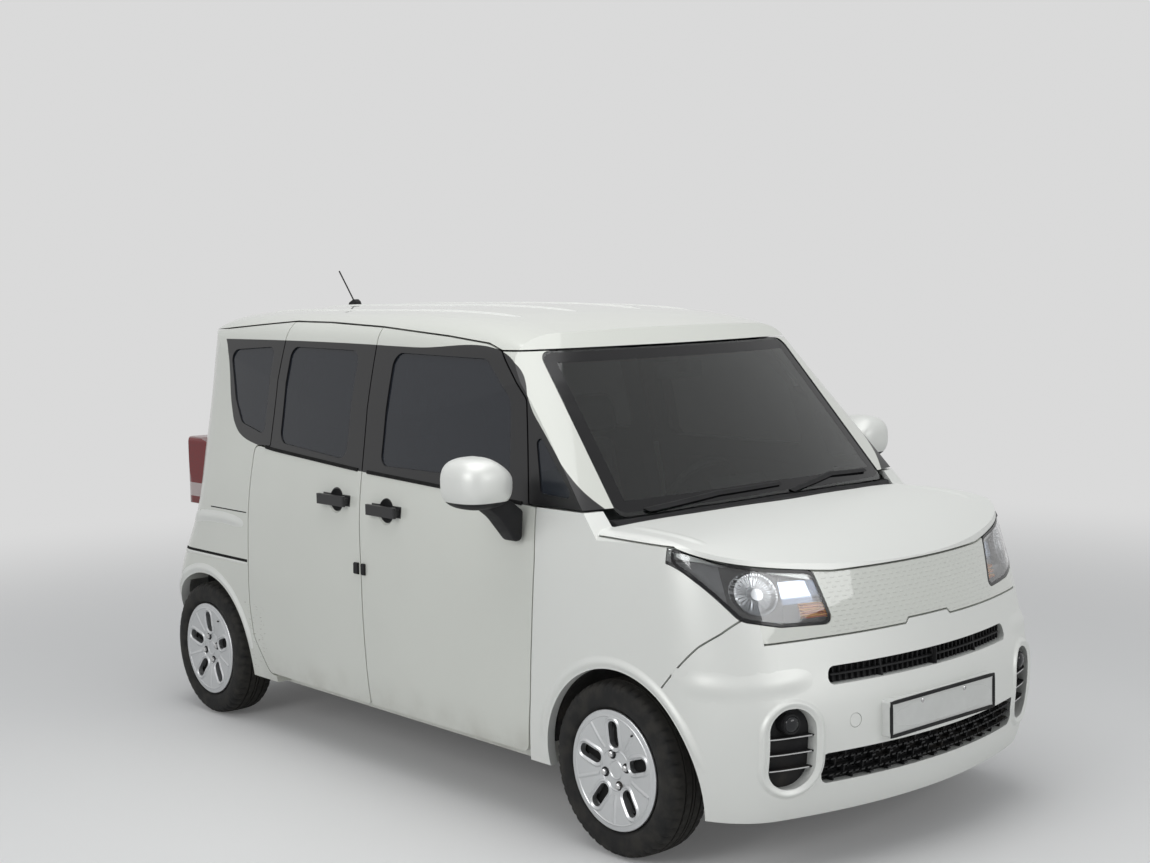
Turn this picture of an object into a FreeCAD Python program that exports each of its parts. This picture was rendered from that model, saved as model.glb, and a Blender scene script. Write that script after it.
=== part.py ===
"""Tall-bodied light car with one sliding side door, built from separate closed panels.

Frame, in millimetres: +Z up, the nose points to -Y and the car's right side is -X.
The origin is on the ground, under the middle of the car's length and width.
"""

import FreeCAD
import Part
import math
import os

Vec = FreeCAD.Vector

# Driving dimensions of the whole car.
WHEELBASE = 2520.0
FRONT_AXLE_Y = -1146.0
REAR_AXLE_Y = FRONT_AXLE_Y + WHEELBASE
HALF_TRACK = 704.0
TYRE_RADIUS = 277.0

# Wall thicknesses of the hollow body.
SIDE_WALL = 62.0
END_WALL = 60.0
HOOD_WALL = 26.0
ROOF_WALL = 38.0

# Gaps between panels and around what moves.
SEAM_GAP = 6.0
SEAL_GAP = 13.0
GLASS_SETBACK = 5.0
GLASS_THICKNESS = 5.0

# Body side, as plan outlines stacked in height.
# Columns: height, half width, narrowing at the front corner, narrowing at the rear corner,
# front y, front bow half width, front bow depth, y where the front corner ends,
# rear y, rear bow half width, rear bow depth, y where the rear corner starts.
BODY_SECTIONS = [
    (150, 755, 12, 14, -1722, 580, 96, -1400, 1752, 600, 55, 1520),
    (250, 775, 10, 12, -1770, 595, 100, -1405, 1784, 615, 55, 1535),
    (380, 789, 8, 10, -1793, 600, 102, -1410, 1797, 620, 55, 1545),
    (520, 795, 8, 10, -1793, 600, 103, -1410, 1794, 618, 55, 1540),
    (660, 797, 9, 10, -1766, 590, 106, -1400, 1750, 605, 57, 1490),
    (800, 795, 12, 12, -1738, 575, 108, -1385, 1683, 585, 60, 1400),
    (930, 790, 18, 14, -1704, 560, 110, -1365, 1646, 565, 60, 1345),
    (1065, 774, 24, 16, -1662, 545, 110, -1340, 1638, 550, 60, 1330),
    (1220, 746, 28, 18, -1610, 525, 108, -1310, 1633, 528, 58, 1335),
    (1400, 716, 32, 20, -1546, 500, 104, -1270, 1628, 505, 55, 1340),
    (1570, 694, 36, 24, -1480, 480, 100, -1230, 1620, 485, 52, 1345),
    (1750, 676, 40, 28, -1400, 460, 95, -1190, 1606, 470, 50, 1350),
]

# Bonnet top, as cross-sections along the car.
# Columns: y, centre height, drop at the shoulder, shoulder radius.
BONNET_SECTIONS = [
    (-1900, 760, 60, 44),
    (-1780, 868, 58, 48),
    (-1650, 940, 46, 52),
    (-1450, 1000, 14, 56),
    (-1250, 1032, 24, 60),
    (-1060, 1050, 42, 62),
    (-900, 1062, 54, 62),
]
BONNET_HALF_WIDTH = 788.0

# Windscreen face, as plan outlines. Columns: height, centre y, bow depth, half width of the
# glass, half width where the pillar corner ends, depth of the pillar corner.
WINDSCREEN_SECTIONS = [
    (0, -2090, 90, 660, 900, 50),
    (1050, -1140, 88, 640, 804, 66),
    (1310, -908, 82, 618, 754, 122),
    (1570, -675, 76, 590, 694, 165),
    (1760, -500, 70, 570, 650, 190),
]

# Roof, as cross-sections along the car. Columns: y, centre height.
ROOF_SECTIONS = [
    (-1400, 1340),
    (-1000, 1492),
    (-690, 1600),
    (-430, 1660),
    (-150, 1687),
    (300, 1699),
    (800, 1700),
    (1250, 1697),
    (1440, 1678),
    (1560, 1630),
    (1680, 1545),
    (1800, 1430),
]
ROOF_CROWN = 18.0
ROOF_FLAT_HALF_WIDTH = 470.0
ROOF_EDGE_HALF_WIDTH = 664.0
ROOF_EDGE_DROP = 126.0
ROOF_SIDE_SLOPE = 0.29
BELT_SIDE_SLOPE = 0.19
ROOF_REFERENCE = 1700.0
ROOF_MIDDLE = 555.0


def bezier(*points):
    """One cubic edge through control points."""
    curve = Part.BezierCurve()
    curve.setPoles([Vec(*p) for p in points])
    return curve.toShape()


def line(a, b):
    """A straight edge between two points."""
    return Part.makeLine(Vec(*a), Vec(*b))


def spline_wire(edges):
    """A closed wire of straight edges (two points) and cubic edges (four points)."""
    return Part.Wire([line(*points) if len(points) == 2 else bezier(*points) for points in edges])


def loft(wires):
    """A smooth solid through stacked outlines."""
    return Part.makeLoft(wires, True, False)


def handle(start, direction, length):
    """A Bezier control point, length away from start."""
    size = math.hypot(*direction)
    return (start[0] + direction[0] / size * length, start[1] + direction[1] / size * length)


def plan_outline(row, depth):
    """A closed plan outline of the body at one height, moved inwards by depth = (side, end)."""
    z, half, front_taper, rear_taper, y_front, x_front, front_bow, y_start, y_rear, x_rear, rear_bow, y_end = row
    side, end = depth
    half, y_front, y_rear = half - side, y_front + end, y_rear - end
    x_front, x_rear = x_front - side * 0.6, x_rear - side * 0.6
    w_front, w_rear = half - front_taper, half - rear_taper
    y_start, y_end = y_start + end * 0.4, y_end - end * 0.4
    w_mid = (8 * half - w_front - w_rear) / 6
    third = (y_end - y_start) / 3
    a = (x_front, y_front + front_bow)
    b = (w_front, y_start)
    c = (w_rear, y_end)
    d = (x_rear, y_rear - rear_bow)
    reach_a, reach_b = 0.5 * (w_front - x_front), 0.55 * (y_start - a[1])
    reach_c, reach_d = 0.55 * (d[1] - y_end), 0.5 * (w_rear - x_rear)
    a_out = handle(a, (x_front, 2 * front_bow), reach_a)
    b_out = handle(b, (w_front - w_mid, -third), reach_b)
    c_out = handle(c, (w_rear - w_mid, third), reach_c)
    d_out = handle(d, (x_rear, -2 * rear_bow), reach_d)
    half_edges = [
        (a, a_out, b_out, b),
        (b, (w_mid, y_start + third), (w_mid, y_end - third), c),
        (c, c_out, d_out, d),
    ]
    right = [[(x, y, z) for x, y in edge] for edge in half_edges]
    left = [[(-x, y, z) for x, y in reversed(edge)] for edge in reversed(half_edges)]
    rear = [d, (x_rear / 3, y_rear + rear_bow / 3), (-x_rear / 3, y_rear + rear_bow / 3), (-d[0], d[1])]
    front = [(-a[0], a[1]), (-x_front / 3, y_front - front_bow / 3),
             (x_front / 3, y_front - front_bow / 3), a]
    edges = right + [[(x, y, z) for x, y in rear]] + left + [[(x, y, z) for x, y in front]]
    return Part.Wire([bezier(*edge) for edge in edges])


def bonnet_outline(row, depth):
    """One cross-section of the bonnet, moved inward by a depth."""
    y, top, drop, radius = row
    side, under = depth
    top, half = top - under, BONNET_HALF_WIDTH - side
    edge = top - drop
    pull = 0.55 * radius
    foot = half + 0.24 * (edge - radius)
    low, shoulder = (half, edge - radius), (half - radius, edge + 8)
    arc = [low, (half - 0.24 * (radius - pull), edge - radius + pull), (half - radius + pull, edge + 2),
           shoulder]
    dome = [shoulder, (half / 3, top + drop / 3), (-half / 3, top + drop / 3), (-shoulder[0], shoulder[1])]
    outline = [[(foot, 0), low], arc, dome]
    outline += [[(-x, z) for x, z in reversed(arc)], [(-low[0], low[1]), (-foot, 0)],
                [(-foot, 0), (foot, 0)]]
    return spline_wire([[(x, y, z) for x, z in edge_points] for edge_points in outline])


def windscreen_outline(row, depth):
    """One outline of the windscreen surface, moved inward by a depth."""
    z, y, bow, corner, end_half, corner_depth = row
    side, end = depth
    y, corner, end_half = y + end, corner - side, end_half - side
    a = (corner, y + bow)
    b = (end_half, y + bow + corner_depth)
    a_out = handle(a, (corner, 2 * bow), 0.62 * (end_half - corner))
    b_out = (end_half, b[1] - 0.6 * corner_depth)
    back = 2600
    screen = [(-corner, a[1]), (-corner / 3, y - bow / 3), (corner / 3, y - bow / 3), a]
    pillar = [a, a_out, b_out, b]
    outline = [screen, pillar, [b, (b[0] + 120, back)], [(b[0] + 120, back), (-b[0] - 120, back)]]
    outline += [[(-b[0] - 120, back), (-b[0], b[1])], [(-x, yy) for x, yy in reversed(pillar)]]
    return spline_wire([[(x, yy, z) for x, yy in edge_points] for edge_points in outline])


def roof_outline(row, depth):
    """One cross-section of the roof, moved inward by a depth."""
    y, centre = row
    side, under = depth
    top = centre - under
    spread = ROOF_SIDE_SLOPE * (ROOF_REFERENCE - centre) - side
    flat = ROOF_FLAT_HALF_WIDTH + 0.6 * spread
    edge = ROOF_EDGE_HALF_WIDTH + spread
    z_flat, z_edge = top - ROOF_CROWN, top - ROOF_EDGE_DROP
    z_belt = 1180.0 - 0.5 * (ROOF_REFERENCE - centre)
    rise = z_edge - z_belt
    x_belt = edge + 0.5 * (ROOF_SIDE_SLOPE + BELT_SIDE_SLOPE) * rise
    x_low = x_belt + BELT_SIDE_SLOPE * z_belt
    corner = [(flat, z_flat), (flat + 100, z_flat - 8), (edge - 22, z_edge + 76), (edge, z_edge)]
    third = rise / 3
    side_arc = [(edge, z_edge), (edge + ROOF_SIDE_SLOPE * third, z_edge - third)]
    side_arc += [(x_belt - BELT_SIDE_SLOPE * third, z_belt + third), (x_belt, z_belt)]
    crown = [(-flat, z_flat), (-flat / 3, top + ROOF_CROWN / 3), (flat / 3, top + ROOF_CROWN / 3),
             (flat, z_flat)]
    outline = [crown, corner, side_arc, [(x_belt, z_belt), (x_low, 0)], [(x_low, 0), (-x_low, 0)]]
    outline += [[(-x_low, 0), (-x_belt, z_belt)], [(-x, z) for x, z in reversed(side_arc)]]
    outline += [[(-x, z) for x, z in reversed(corner)]]
    return spline_wire([[(x, y, z) for x, z in edge_points] for edge_points in outline])


def master(side, end, bonnet, roof):
    """The closed outer form of the car, moved inwards by the given depths."""
    sides = loft([plan_outline(row, (side, end)) for row in BODY_SECTIONS])
    bonnet_top = loft([bonnet_outline(row, (side, bonnet)) for row in BONNET_SECTIONS])
    screen = loft([windscreen_outline(row, (side, end * 0.6)) for row in WINDSCREEN_SECTIONS])
    roof_top = loft([roof_outline(row, (side, roof)) for row in ROOF_SECTIONS])
    top = bonnet_top.fuse(roof_top.common(screen))
    return sides.common(top)


# Side view layout of the panel seams, as (y, z) or (y, z, corner radius). Each seam line is the
# middle of the gap between two panels.
FRONT_DOOR_SEAM = [
    (-728, 246, 36), (180, 246, 20), (187, 700, 900), (203, 1085, 900), (230, 1629, 8), (-188, 1601, 600),
    (-421, 1579, 200),
    (-504, 1556, 30), (-678, 1403, 40), (-749, 1066, 20), (-786, 1066, 16), (-796, 897, 400),
    (-781, 635, 500), (-761, 433, 400),
]
REAR_DOOR_SEAM = [
    (180, 246, 20), (898, 246, 40), (992, 385, 120), (1007, 510, 300), (1004, 684, 600), (1000, 866, 600),
    (986, 1156, 30), (868, 1158, 12), (862, 1646, 12), (600, 1643, 800), (230, 1629, 8),
    (203, 1085, 900), (187, 700, 900),
]
DOOR_PAIR_SEAM = [
    (-728, 246, 36), (898, 246, 40), (992, 385, 120), (1007, 510, 300), (1004, 684, 600), (1000, 866, 600),
    (986, 1156, 30), (868, 1158, 12), (862, 1646, 12), (600, 1643, 800), (230, 1629, 200),
    (-188, 1601, 600), (-421, 1579, 200), (-504, 1556, 30), (-678, 1403, 40), (-749, 1066, 20),
    (-786, 1066, 16), (-796, 897, 400), (-781, 635, 500), (-761, 433, 400),
]
ROOF_SEAM = [(-504, 1556), (-421, 1579), (-188, 1601), (230, 1629), (600, 1643), (862, 1646), (1066, 1634),
             (1500, 1606)]
FENDER_SEAM = [
    (-728, 222), (-761, 433, 400), (-781, 635, 500), (-796, 897, 400), (-786, 1066), (-1100, 1066),
    (-1100, 999), (-1397, 996), (-1613, 820), (-1553, 753, 30), (-1503, 714, 40), (-1356, 557),
    (-1250, 300), (-1000, 222),
]
BUMPER_SEAM = [
    (-1900, 186), (-1288, 186), (-1250, 300), (-1356, 557), (-1503, 714, 40), (-1553, 753, 30),
    (-1613, 820), (-1613, 960), (-1900, 960),
]
HOOD_LINE = [(-1060, 999), (-1397, 996), (-1666, 906), (-1900, 904)]
HEADLAMP_OUTLINE = [
    (-800, 1012), (-426, 1012), (-426, 922, 16), (-388, 758, 22), (-560, 764, 60), (-668, 788, 50),
    (-742, 905, 60),
]
BOWL_X = -600.0
BOWL_Z = 858.0
BOWL_RADIUS = 60.0
BROW_OUTLINE = [(-760, 985), (-426, 905), (-426, 885), (-600, 918, 60), (-742, 960)]
FRONT_PANEL_SEAM = [(-1000, 712), (-450, 720), (-110, 722, 6), (-96, 737, 6), (96, 737, 6), (110, 722, 6),
                    (450, 720), (1000, 712)]
WINDSCREEN_OUTLINE = [
    (-655, 1040, 30), (-340, 1052, 900), (0, 1057, 900), (340, 1052, 900), (655, 1040, 30), (597, 1552, 40),
    (-597, 1552, 40),
]
FRONT_DOOR_GLASS = [(-640, 1136, 30), (92, 1136, 40), (104, 1540, 50), (-440, 1528, 60), (-600, 1402, 90)]
REAR_DOOR_GLASS = [(318, 1142, 45), (800, 1178, 50), (806, 1550, 45), (328, 1542, 50)]
QUARTER_GLASS = [(925, 1200, 30), (1120, 1240, 60), (1190, 1330, 90), (1270, 1530, 40), (930, 1548, 40)]
CORNER_GLASS = [(-960, 1100, 14), (-800, 1108, 14), (-733, 1320, 16)]
TAILGATE_OUTLINE = [
    (-500, 606, 50), (500, 606, 50), (552, 720, 90), (566, 1150, 300), (520, 1560, 300), (500, 1760),
    (-500, 1760), (-520, 1560, 300), (-566, 1150, 300), (-552, 720, 90),
]
TAILGATE_GLASS = [(-500, 1130, 50), (500, 1130, 50), (455, 1520, 60), (-455, 1520, 60)]
TAIL_LAMP_SIDE = [(1380, 866), (1622, 866, 14), (1640, 960, 120), (1672, 1070, 90), (1648, 1156, 40),
                  (1560, 1156, 20), (1380, 1130)]
TAIL_LAMP_OUTLINE = [(-742, 872, 22), (-590, 866, 22), (-586, 1150, 22), (-716, 1152, 26)]
TAILGATE_HINGE_Y = 1510.0
PANEL_HALF_WIDTH = 620.0
ARCH_RADIUS = 338.0
FRONT_ARCH_Y = -1166.0
REAR_ARCH_Y = 1373.0
ARCH_Z = 260.0


def corner_steps(points):
    """Straight and arc pieces of a closed outline whose points carry a corner radius."""
    count = len(points)
    corners = []
    for index, point in enumerate(points):
        before, after = points[index - 1], points[(index + 1) % count]
        radius = point[2] if len(point) > 2 else 0
        to_before = (before[0] - point[0], before[1] - point[1])
        to_after = (after[0] - point[0], after[1] - point[1])
        size_before, size_after = math.hypot(*to_before), math.hypot(*to_after)
        unit_before = (to_before[0] / size_before, to_before[1] / size_before)
        unit_after = (to_after[0] / size_after, to_after[1] / size_after)
        cosine = max(-1.0, min(1.0, unit_before[0] * unit_after[0] + unit_before[1] * unit_after[1]))
        inside = math.acos(cosine)
        if radius == 0 or math.pi - inside < 0.02:
            corners.append((point[:2], None, point[:2]))
            continue
        reach = min(radius / math.tan(inside / 2), 0.46 * size_before, 0.46 * size_after)
        radius = reach * math.tan(inside / 2)
        start = (point[0] + unit_before[0] * reach, point[1] + unit_before[1] * reach)
        end = (point[0] + unit_after[0] * reach, point[1] + unit_after[1] * reach)
        bisector = (unit_before[0] + unit_after[0], unit_before[1] + unit_after[1])
        size = math.hypot(*bisector)
        depth = radius / math.sin(inside / 2) - radius
        middle = (point[0] + bisector[0] / size * depth, point[1] + bisector[1] / size * depth)
        corners.append((start, middle, end))
    return corners


def face_of(points, place):
    """A flat face from an outline; place turns (u, v) into a point in space."""
    corners = corner_steps(points)
    edges = []
    for index, (start, middle, end) in enumerate(corners):
        if middle is not None:
            edges.append(Part.Arc(place(*start), place(*middle), place(*end)).toShape())
        following = corners[(index + 1) % len(corners)][0]
        if math.hypot(following[0] - end[0], following[1] - end[1]) > 0.01:
            edges.append(Part.makeLine(place(*end), place(*following)))
    return Part.Face(Part.Wire(edges))


def along_x(points, low, high):
    """A prism along X from an outline in (y, z)."""
    return face_of(points, lambda u, v: Vec(low, u, v)).extrude(Vec(high - low, 0, 0))


def along_y(points, low, high):
    """A prism along Y from an outline in (x, z)."""
    return face_of(points, lambda u, v: Vec(u, low, v)).extrude(Vec(0, high - low, 0))


def along_z(points, low, high):
    """A prism along Z from an outline in (x, y)."""
    return face_of(points, lambda u, v: Vec(u, v, low)).extrude(Vec(0, 0, high - low))


def grown(points, distance):
    """The outline moved outwards by distance, or inwards where it is negative."""
    area = sum(points[i - 1][0] * p[1] - p[0] * points[i - 1][1] for i, p in enumerate(points))
    sign = 1 if area > 0 else -1
    result = []
    count = len(points)
    for index, point in enumerate(points):
        before, after = points[index - 1], points[(index + 1) % count]
        radius = point[2] if len(point) > 2 else 0
        first = (point[0] - before[0], point[1] - before[1])
        second = (after[0] - point[0], after[1] - point[1])
        n_first = (sign * first[1] / math.hypot(*first), -sign * first[0] / math.hypot(*first))
        n_second = (sign * second[1] / math.hypot(*second), -sign * second[0] / math.hypot(*second))
        scale = distance / (1 + n_first[0] * n_second[0] + n_first[1] * n_second[1])
        moved = (point[0] + (n_first[0] + n_second[0]) * scale,
                 point[1] + (n_first[1] + n_second[1]) * scale)
        convex = sign * (first[0] * second[1] - first[1] * second[0]) > 0
        radius = max(radius + (distance if convex else -distance), 0.5) if radius else 0
        result.append((moved[0], moved[1], radius))
    return result


def box(x, y, z):
    """A box from its ranges in x, y and z."""
    return Part.makeBox(x[1] - x[0], y[1] - y[0], z[1] - z[0], Vec(x[0], y[0], z[0]))


def cylinder_x(radius, x0, x1, y, z):
    """A cylinder along X."""
    return Part.makeCylinder(radius, x1 - x0, Vec(x0, y, z), Vec(1, 0, 0))


def cylinder_y(radius, y0, y1, x, z):
    """A cylinder along Y."""
    return Part.makeCylinder(radius, y1 - y0, Vec(x, y0, z), Vec(0, 1, 0))


def cylinder_z(radius, z0, z1, x, y):
    """A cylinder along Z."""
    return Part.makeCylinder(radius, z1 - z0, Vec(x, y, z0), Vec(0, 0, 1))


def rod(radius, start, end):
    """A round bar between two points."""
    direction = Vec(*end) - Vec(*start)
    return Part.makeCylinder(radius, direction.Length, Vec(*start), direction)


def fuse(*shapes):
    """One shape from several."""
    shapes = list(shapes)
    return shapes[0].multiFuse(shapes[1:]).removeSplitter() if len(shapes) > 1 else shapes[0]


def mirrored(shape):
    """The same piece for the other side of the car."""
    return shape.mirror(Vec(0, 0, 0), Vec(1, 0, 0))


def largest(shape):
    """The largest solid of a result, without the slivers that a cut can leave."""
    return max(shape.Solids, key=lambda solid: solid.Volume)


def save(name, shape):
    """Write one named piece."""
    shape = largest(shape) if len(shape.Solids) == 1 else shape
    shape.exportStep("parts/" + name + ".step")


# Running gear.
SPINDLE_RADIUS = 14.0
SLOTS = 5
SLOT_HALF_WIDTH = 20.0
SLOT_START = 70.0
SLOT_END = 156.0
NUTS = 4
NUT_CIRCLE = 50.0
NUT_RADIUS = 9.5
NUT_TURN = 73.0
SPINDLE_CLEARANCE = 0.05
KINGPIN_X = 650.0
STRUT_X = 560.0
WHEEL_Z = TYRE_RADIUS
TYRE_PROFILE = [
    (-66, 180.3, 3), (66, 180.3, 3), (66, 193, 5), (79, 203, 10), (82.5, 232, 60), (74, 266, 16),
    (58, 274, 14),
    (30, 277, 60), (-30, 277, 60), (-58, 274, 14), (-74, 266, 16), (-82.5, 232, 60), (-79, 203, 10),
    (-66, 193, 5),
]

def revolved(points, sign, y):
    """A ring around a wheel's axis from an outline in (distance outwards from the tyre's middle, radius)."""
    face = face_of(points, lambda u, v: Vec(sign * (HALF_TRACK + u), y, WHEEL_Z + v))
    return face.revolve(Vec(0, y, WHEEL_Z), Vec(1, 0, 0), 360)


def tyre(sign, y):
    """A plain tyre on its rim."""
    return revolved(TYRE_PROFILE, sign, y)


def wheel(sign, y):
    """A rim with its cover, slots and nuts."""
    rim = revolved([(-70, 180), (-70, 189), (-75, 189), (-75, 176), (-40, 158), (36, 158), (36, 64),
                    (30, 60),
                    (30, SPINDLE_RADIUS + SPINDLE_CLEARANCE), (44, SPINDLE_RADIUS + SPINDLE_CLEARANCE),
                    (44, 62),
                    (58, 122), (44, 160), (70, 176), (70, 180)], sign, y)
    cover = revolved([(43, 0), (43, 62), (57, 122), (60, 160), (69, 176), (70, 190), (78, 190, 4),
                      (79, 172, 12),
                      (74, 110, 60), (66, 62, 20), (66, 0)], sign, y)
    shape = rim.fuse(cover)
    low, high = sorted((sign * (HALF_TRACK + 20), sign * (HALF_TRACK + 200)))
    slot = along_x([(y - SLOT_HALF_WIDTH, WHEEL_Z + SLOT_START, SLOT_HALF_WIDTH - 1),
                    (y + SLOT_HALF_WIDTH, WHEEL_Z + SLOT_START, SLOT_HALF_WIDTH - 1),
                    (y + SLOT_HALF_WIDTH, WHEEL_Z + SLOT_END, SLOT_HALF_WIDTH - 1),
                    (y - SLOT_HALF_WIDTH, WHEEL_Z + SLOT_END, SLOT_HALF_WIDTH - 1)], low, high)
    for index in range(SLOTS):
        cut = slot.copy()
        cut.rotate(Vec(0, y, WHEEL_Z), Vec(1, 0, 0), 360 / SLOTS * index)
        shape = shape.cut(cut)
    for index in range(NUTS):
        angle = math.radians(NUT_TURN + 360 / NUTS * index)
        ends = sorted((sign * (HALF_TRACK + 50), sign * (HALF_TRACK + 72)))
        shape = shape.fuse(cylinder_x(NUT_RADIUS, ends[0], ends[1], y + NUT_CIRCLE * math.cos(angle),
                                      WHEEL_Z + NUT_CIRCLE * math.sin(angle)))
    return largest(shape.removeSplitter())


def knuckle(sign):
    """The steered carrier with its disc, hub and caliper."""
    y = FRONT_AXLE_Y
    near, far = sign * (KINGPIN_X - 26), sign * (HALF_TRACK + 26)
    spindle = rod(SPINDLE_RADIUS, (near, y, WHEEL_Z), (sign * (HALF_TRACK + 41), y, WHEEL_Z))
    carrier = rod(46, (near, y, WHEEL_Z), (sign * (HALF_TRACK - 12), y, WHEEL_Z))
    upright = rod(20, (sign * KINGPIN_X, y, WHEEL_Z - 104), (sign * KINGPIN_X, y, WHEEL_Z + 104))
    disc = rod(112, (sign * (HALF_TRACK + 6), y, WHEEL_Z), (sign * (HALF_TRACK + 18), y, WHEEL_Z))
    hub = rod(40, (sign * (HALF_TRACK - 12), y, WHEEL_Z), (sign * (HALF_TRACK + 24), y, WHEEL_Z))
    caliper = box(sorted((sign * (HALF_TRACK - 22), sign * (HALF_TRACK + 28))), (y + 60, y + 116),
                  (WHEEL_Z - 40, WHEEL_Z + 60))
    return largest(fuse(spindle, carrier, upright, disc, hub, caliper))


def front_suspension():
    """The front cross member with arms, struts and springs."""
    y = FRONT_AXLE_Y
    cross = box((-360, 360), (y - 60, y + 90), (180, 240))
    parts = [cross]
    for sign in (-1, 1):
        ball_z = WHEEL_Z - 104.3
        arm = along_z([(sign * 350, y - 50), (sign * 350, y + 80, 10),
                       (sign * (KINGPIN_X + 22), y + 24, 22),
                       (sign * (KINGPIN_X + 22), y - 24, 22)], ball_z - 16, ball_z)
        strut = rod(24, (sign * STRUT_X, y, ball_z - 16), (sign * STRUT_X, y, 800))
        spring = rod(44, (sign * STRUT_X, y, 590), (sign * STRUT_X, y, 800))
        link = box(sorted((sign * 330, sign * 362)), (y - 50, y + 80), (ball_z - 16, 200))
        parts += [arm, strut, spring, link]
    return largest(fuse(*parts))


def rear_axle():
    """The rear beam with trailing arms, hubs, dampers and springs."""
    y = REAR_AXLE_Y
    parts = [rod(34, (-500, y - 90, 262), (500, y - 90, 262))]
    for sign in (-1, 1):
        parts.append(box(sorted((sign * 480, sign * 525)), (y - 430, y + 40), (232, 292)))
        parts.append(rod(38, (sign * 500, y, WHEEL_Z), (sign * 640, y, WHEEL_Z)))
        parts.append(rod(104, (sign * 640, y, WHEEL_Z), (sign * (HALF_TRACK + 20), y, WHEEL_Z)))
        parts.append(rod(SPINDLE_RADIUS, (sign * 640, y, WHEEL_Z), (sign * (HALF_TRACK + 41), y, WHEEL_Z)))
        parts.append(rod(24, (sign * 500, y + 20, 270), (sign * 500, y + 20, 447.7)))
        parts.append(rod(50, (sign * 440, y - 90, 280), (sign * 440, y - 90, 447.7)))
        parts.append(box(sorted((sign * 485, sign * 520)), (y - 440, y - 390), (225, 319.7)))
    return largest(fuse(*parts))


FLOOR_PROFILE = [
    (-860, 985), (-860, 560, 60), (-700, 232, 40), (-640, 212), (560, 212, 10), (600, 320, 10),
    (1080, 320, 10),
    (1110, 448, 10), (1700, 448), (1700, 468), (1100, 468, 20), (1068, 340, 10), (590, 340, 10),
    (550, 232, 10),
    (-640, 232), (-688, 246, 30), (-840, 562, 60), (-840, 985),
]


def floor_pan(ring_inner, latch_inner, skin_inner):
    """The floor with tunnel, sills, rear wheel houses, striker and cowl tray."""
    half = 651.7
    pan = along_x(FLOOR_PROFILE, -half, half)
    tunnel = along_y([(-90, 232), (-70, 330, 20), (70, 330, 20), (90, 232)], -700, 560)
    pan = pan.fuse(tunnel.cut(along_y([(-76, 200), (-58, 318, 16), (58, 318, 16), (76, 200)], -760, 540)))
    for sign in (-1, 1):
        y, z = REAR_ARCH_Y, ARCH_Z
        x = sorted((sign * 540, sign * 690))
        house = cylinder_x(ARCH_RADIUS + 16, x[0], x[1], y, z).cut(cylinder_x(ARCH_RADIUS,
                                                                              *sorted((sign * 556,
                                                                                       sign * 900)), y, z))
        house = house.cut(box((-900, 900), (y - 600, y + 600), (-200, 330)))
        pan = pan.cut(cylinder_x(ARCH_RADIUS + 10, *sorted((sign * 545, sign * 900)), y, z)).fuse(house)
        sill = box(sorted((sign * 560, sign * half)), (-640, 1000), (200, 300))
        pan = pan.fuse(sill.cut(cylinder_x(ARCH_RADIUS + 16, *x, y, z)))
    back = box((-520, 520), (1684, 1700), (380, 580))
    striker = box((-36, 36), (1640, 1700), (560, 660)).common(latch_inner)
    tray = box((-250, 250), (-1135, -858), (985, 1000))
    riser = box((-250, 250), (-1135, -1120), (1000, 1100)).common(skin_inner)
    return largest(fuse(pan.common(ring_inner), back, striker, tray, riser))


def wheelhouse(sign):
    """One front wheel house."""
    y, z = FRONT_ARCH_Y, ARCH_Z
    x = sorted((sign * 436, sign * 742))
    inner = sorted((sign * 450, sign * 900))
    house = cylinder_x(ARCH_RADIUS + 15, *x, y, z).cut(cylinder_x(ARCH_RADIUS + 3, *inner, y, z))
    house = house.cut(box((-900, 900), (y - 600, y + 600), (-200, 300)))
    return house.cut(rod(50, (sign * STRUT_X, FRONT_AXLE_Y, 400), (sign * STRUT_X, FRONT_AXLE_Y, 790)))


def front_structure(apron_shell, skin_inner, stop_inner):
    """Aprons, rails, towers, radiator panel and bumper beam."""
    band = [(-1690, 830), (-1400, 925), (-803, 930), (-803, 978), (-1400, 978), (-1690, 888)]
    apron = apron_shell.common(along_x(band, -1000, 1000))
    parts = [largest(apron)]
    for sign in (-1, 1):
        parts.append(wheelhouse(sign))
        rail = box(sorted((sign * 400, sign * 450)), (-1640, -861), (330, 420))
        parts.append(rail)
        tower = box(sorted((sign * (STRUT_X - 60), sign * 640)), (FRONT_AXLE_Y - 80, FRONT_AXLE_Y + 80),
                    (800.3, 830))
        parts.append(tower)
        parts.append(box(sorted((sign * 632, sign * 650)), (-1390, -861), (560, 970)))
        parts.append(rod(12, (sign * 350, -1641, 800), (sign * 350, -1641, 1100)).common(stop_inner))
    panel = box((-480, 480), (-1650, -1632), (300, 850)).cut(box((-330, 330), (-1700, -1600), (340, 800)))
    parts.append(panel)
    beam = box((-430, 430), (-1700, -1650), (440, 500))
    parts.append(box((-300, 300), (-1850, -1690), (452, 488)))
    bore = cylinder_y(TOW_BORE_RADIUS, -1800, -1600, TOW_X, TOW_Z)
    parts.append(beam.cut(bore))
    socket = cylinder_y(TOW_SOCKET_RADIUS, TOW_SOCKET_Y, -1700, TOW_X, TOW_Z).cut(bore)
    return largest(fuse(largest(fuse(*parts).common(skin_inner)), socket))


def engine():
    """A plain engine block with head and gearbox."""
    block = box((-200, 120), (-1440, -1120), (300, 640))
    head = box((-190, 110), (-1420, -1140), (640, 790))
    gearbox = box((120, 360), (-1400, -1150), (290, 560))
    cover = box((-170, 90), (-1400, -1160), (790, 830))
    mount = box((-399.7, -200), (-1320, -1240), (340, 400))
    second = box((360, 399.7), (-1320, -1240), (340, 400))
    return largest(fuse(block, head, gearbox, cover, mount, second))


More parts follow.
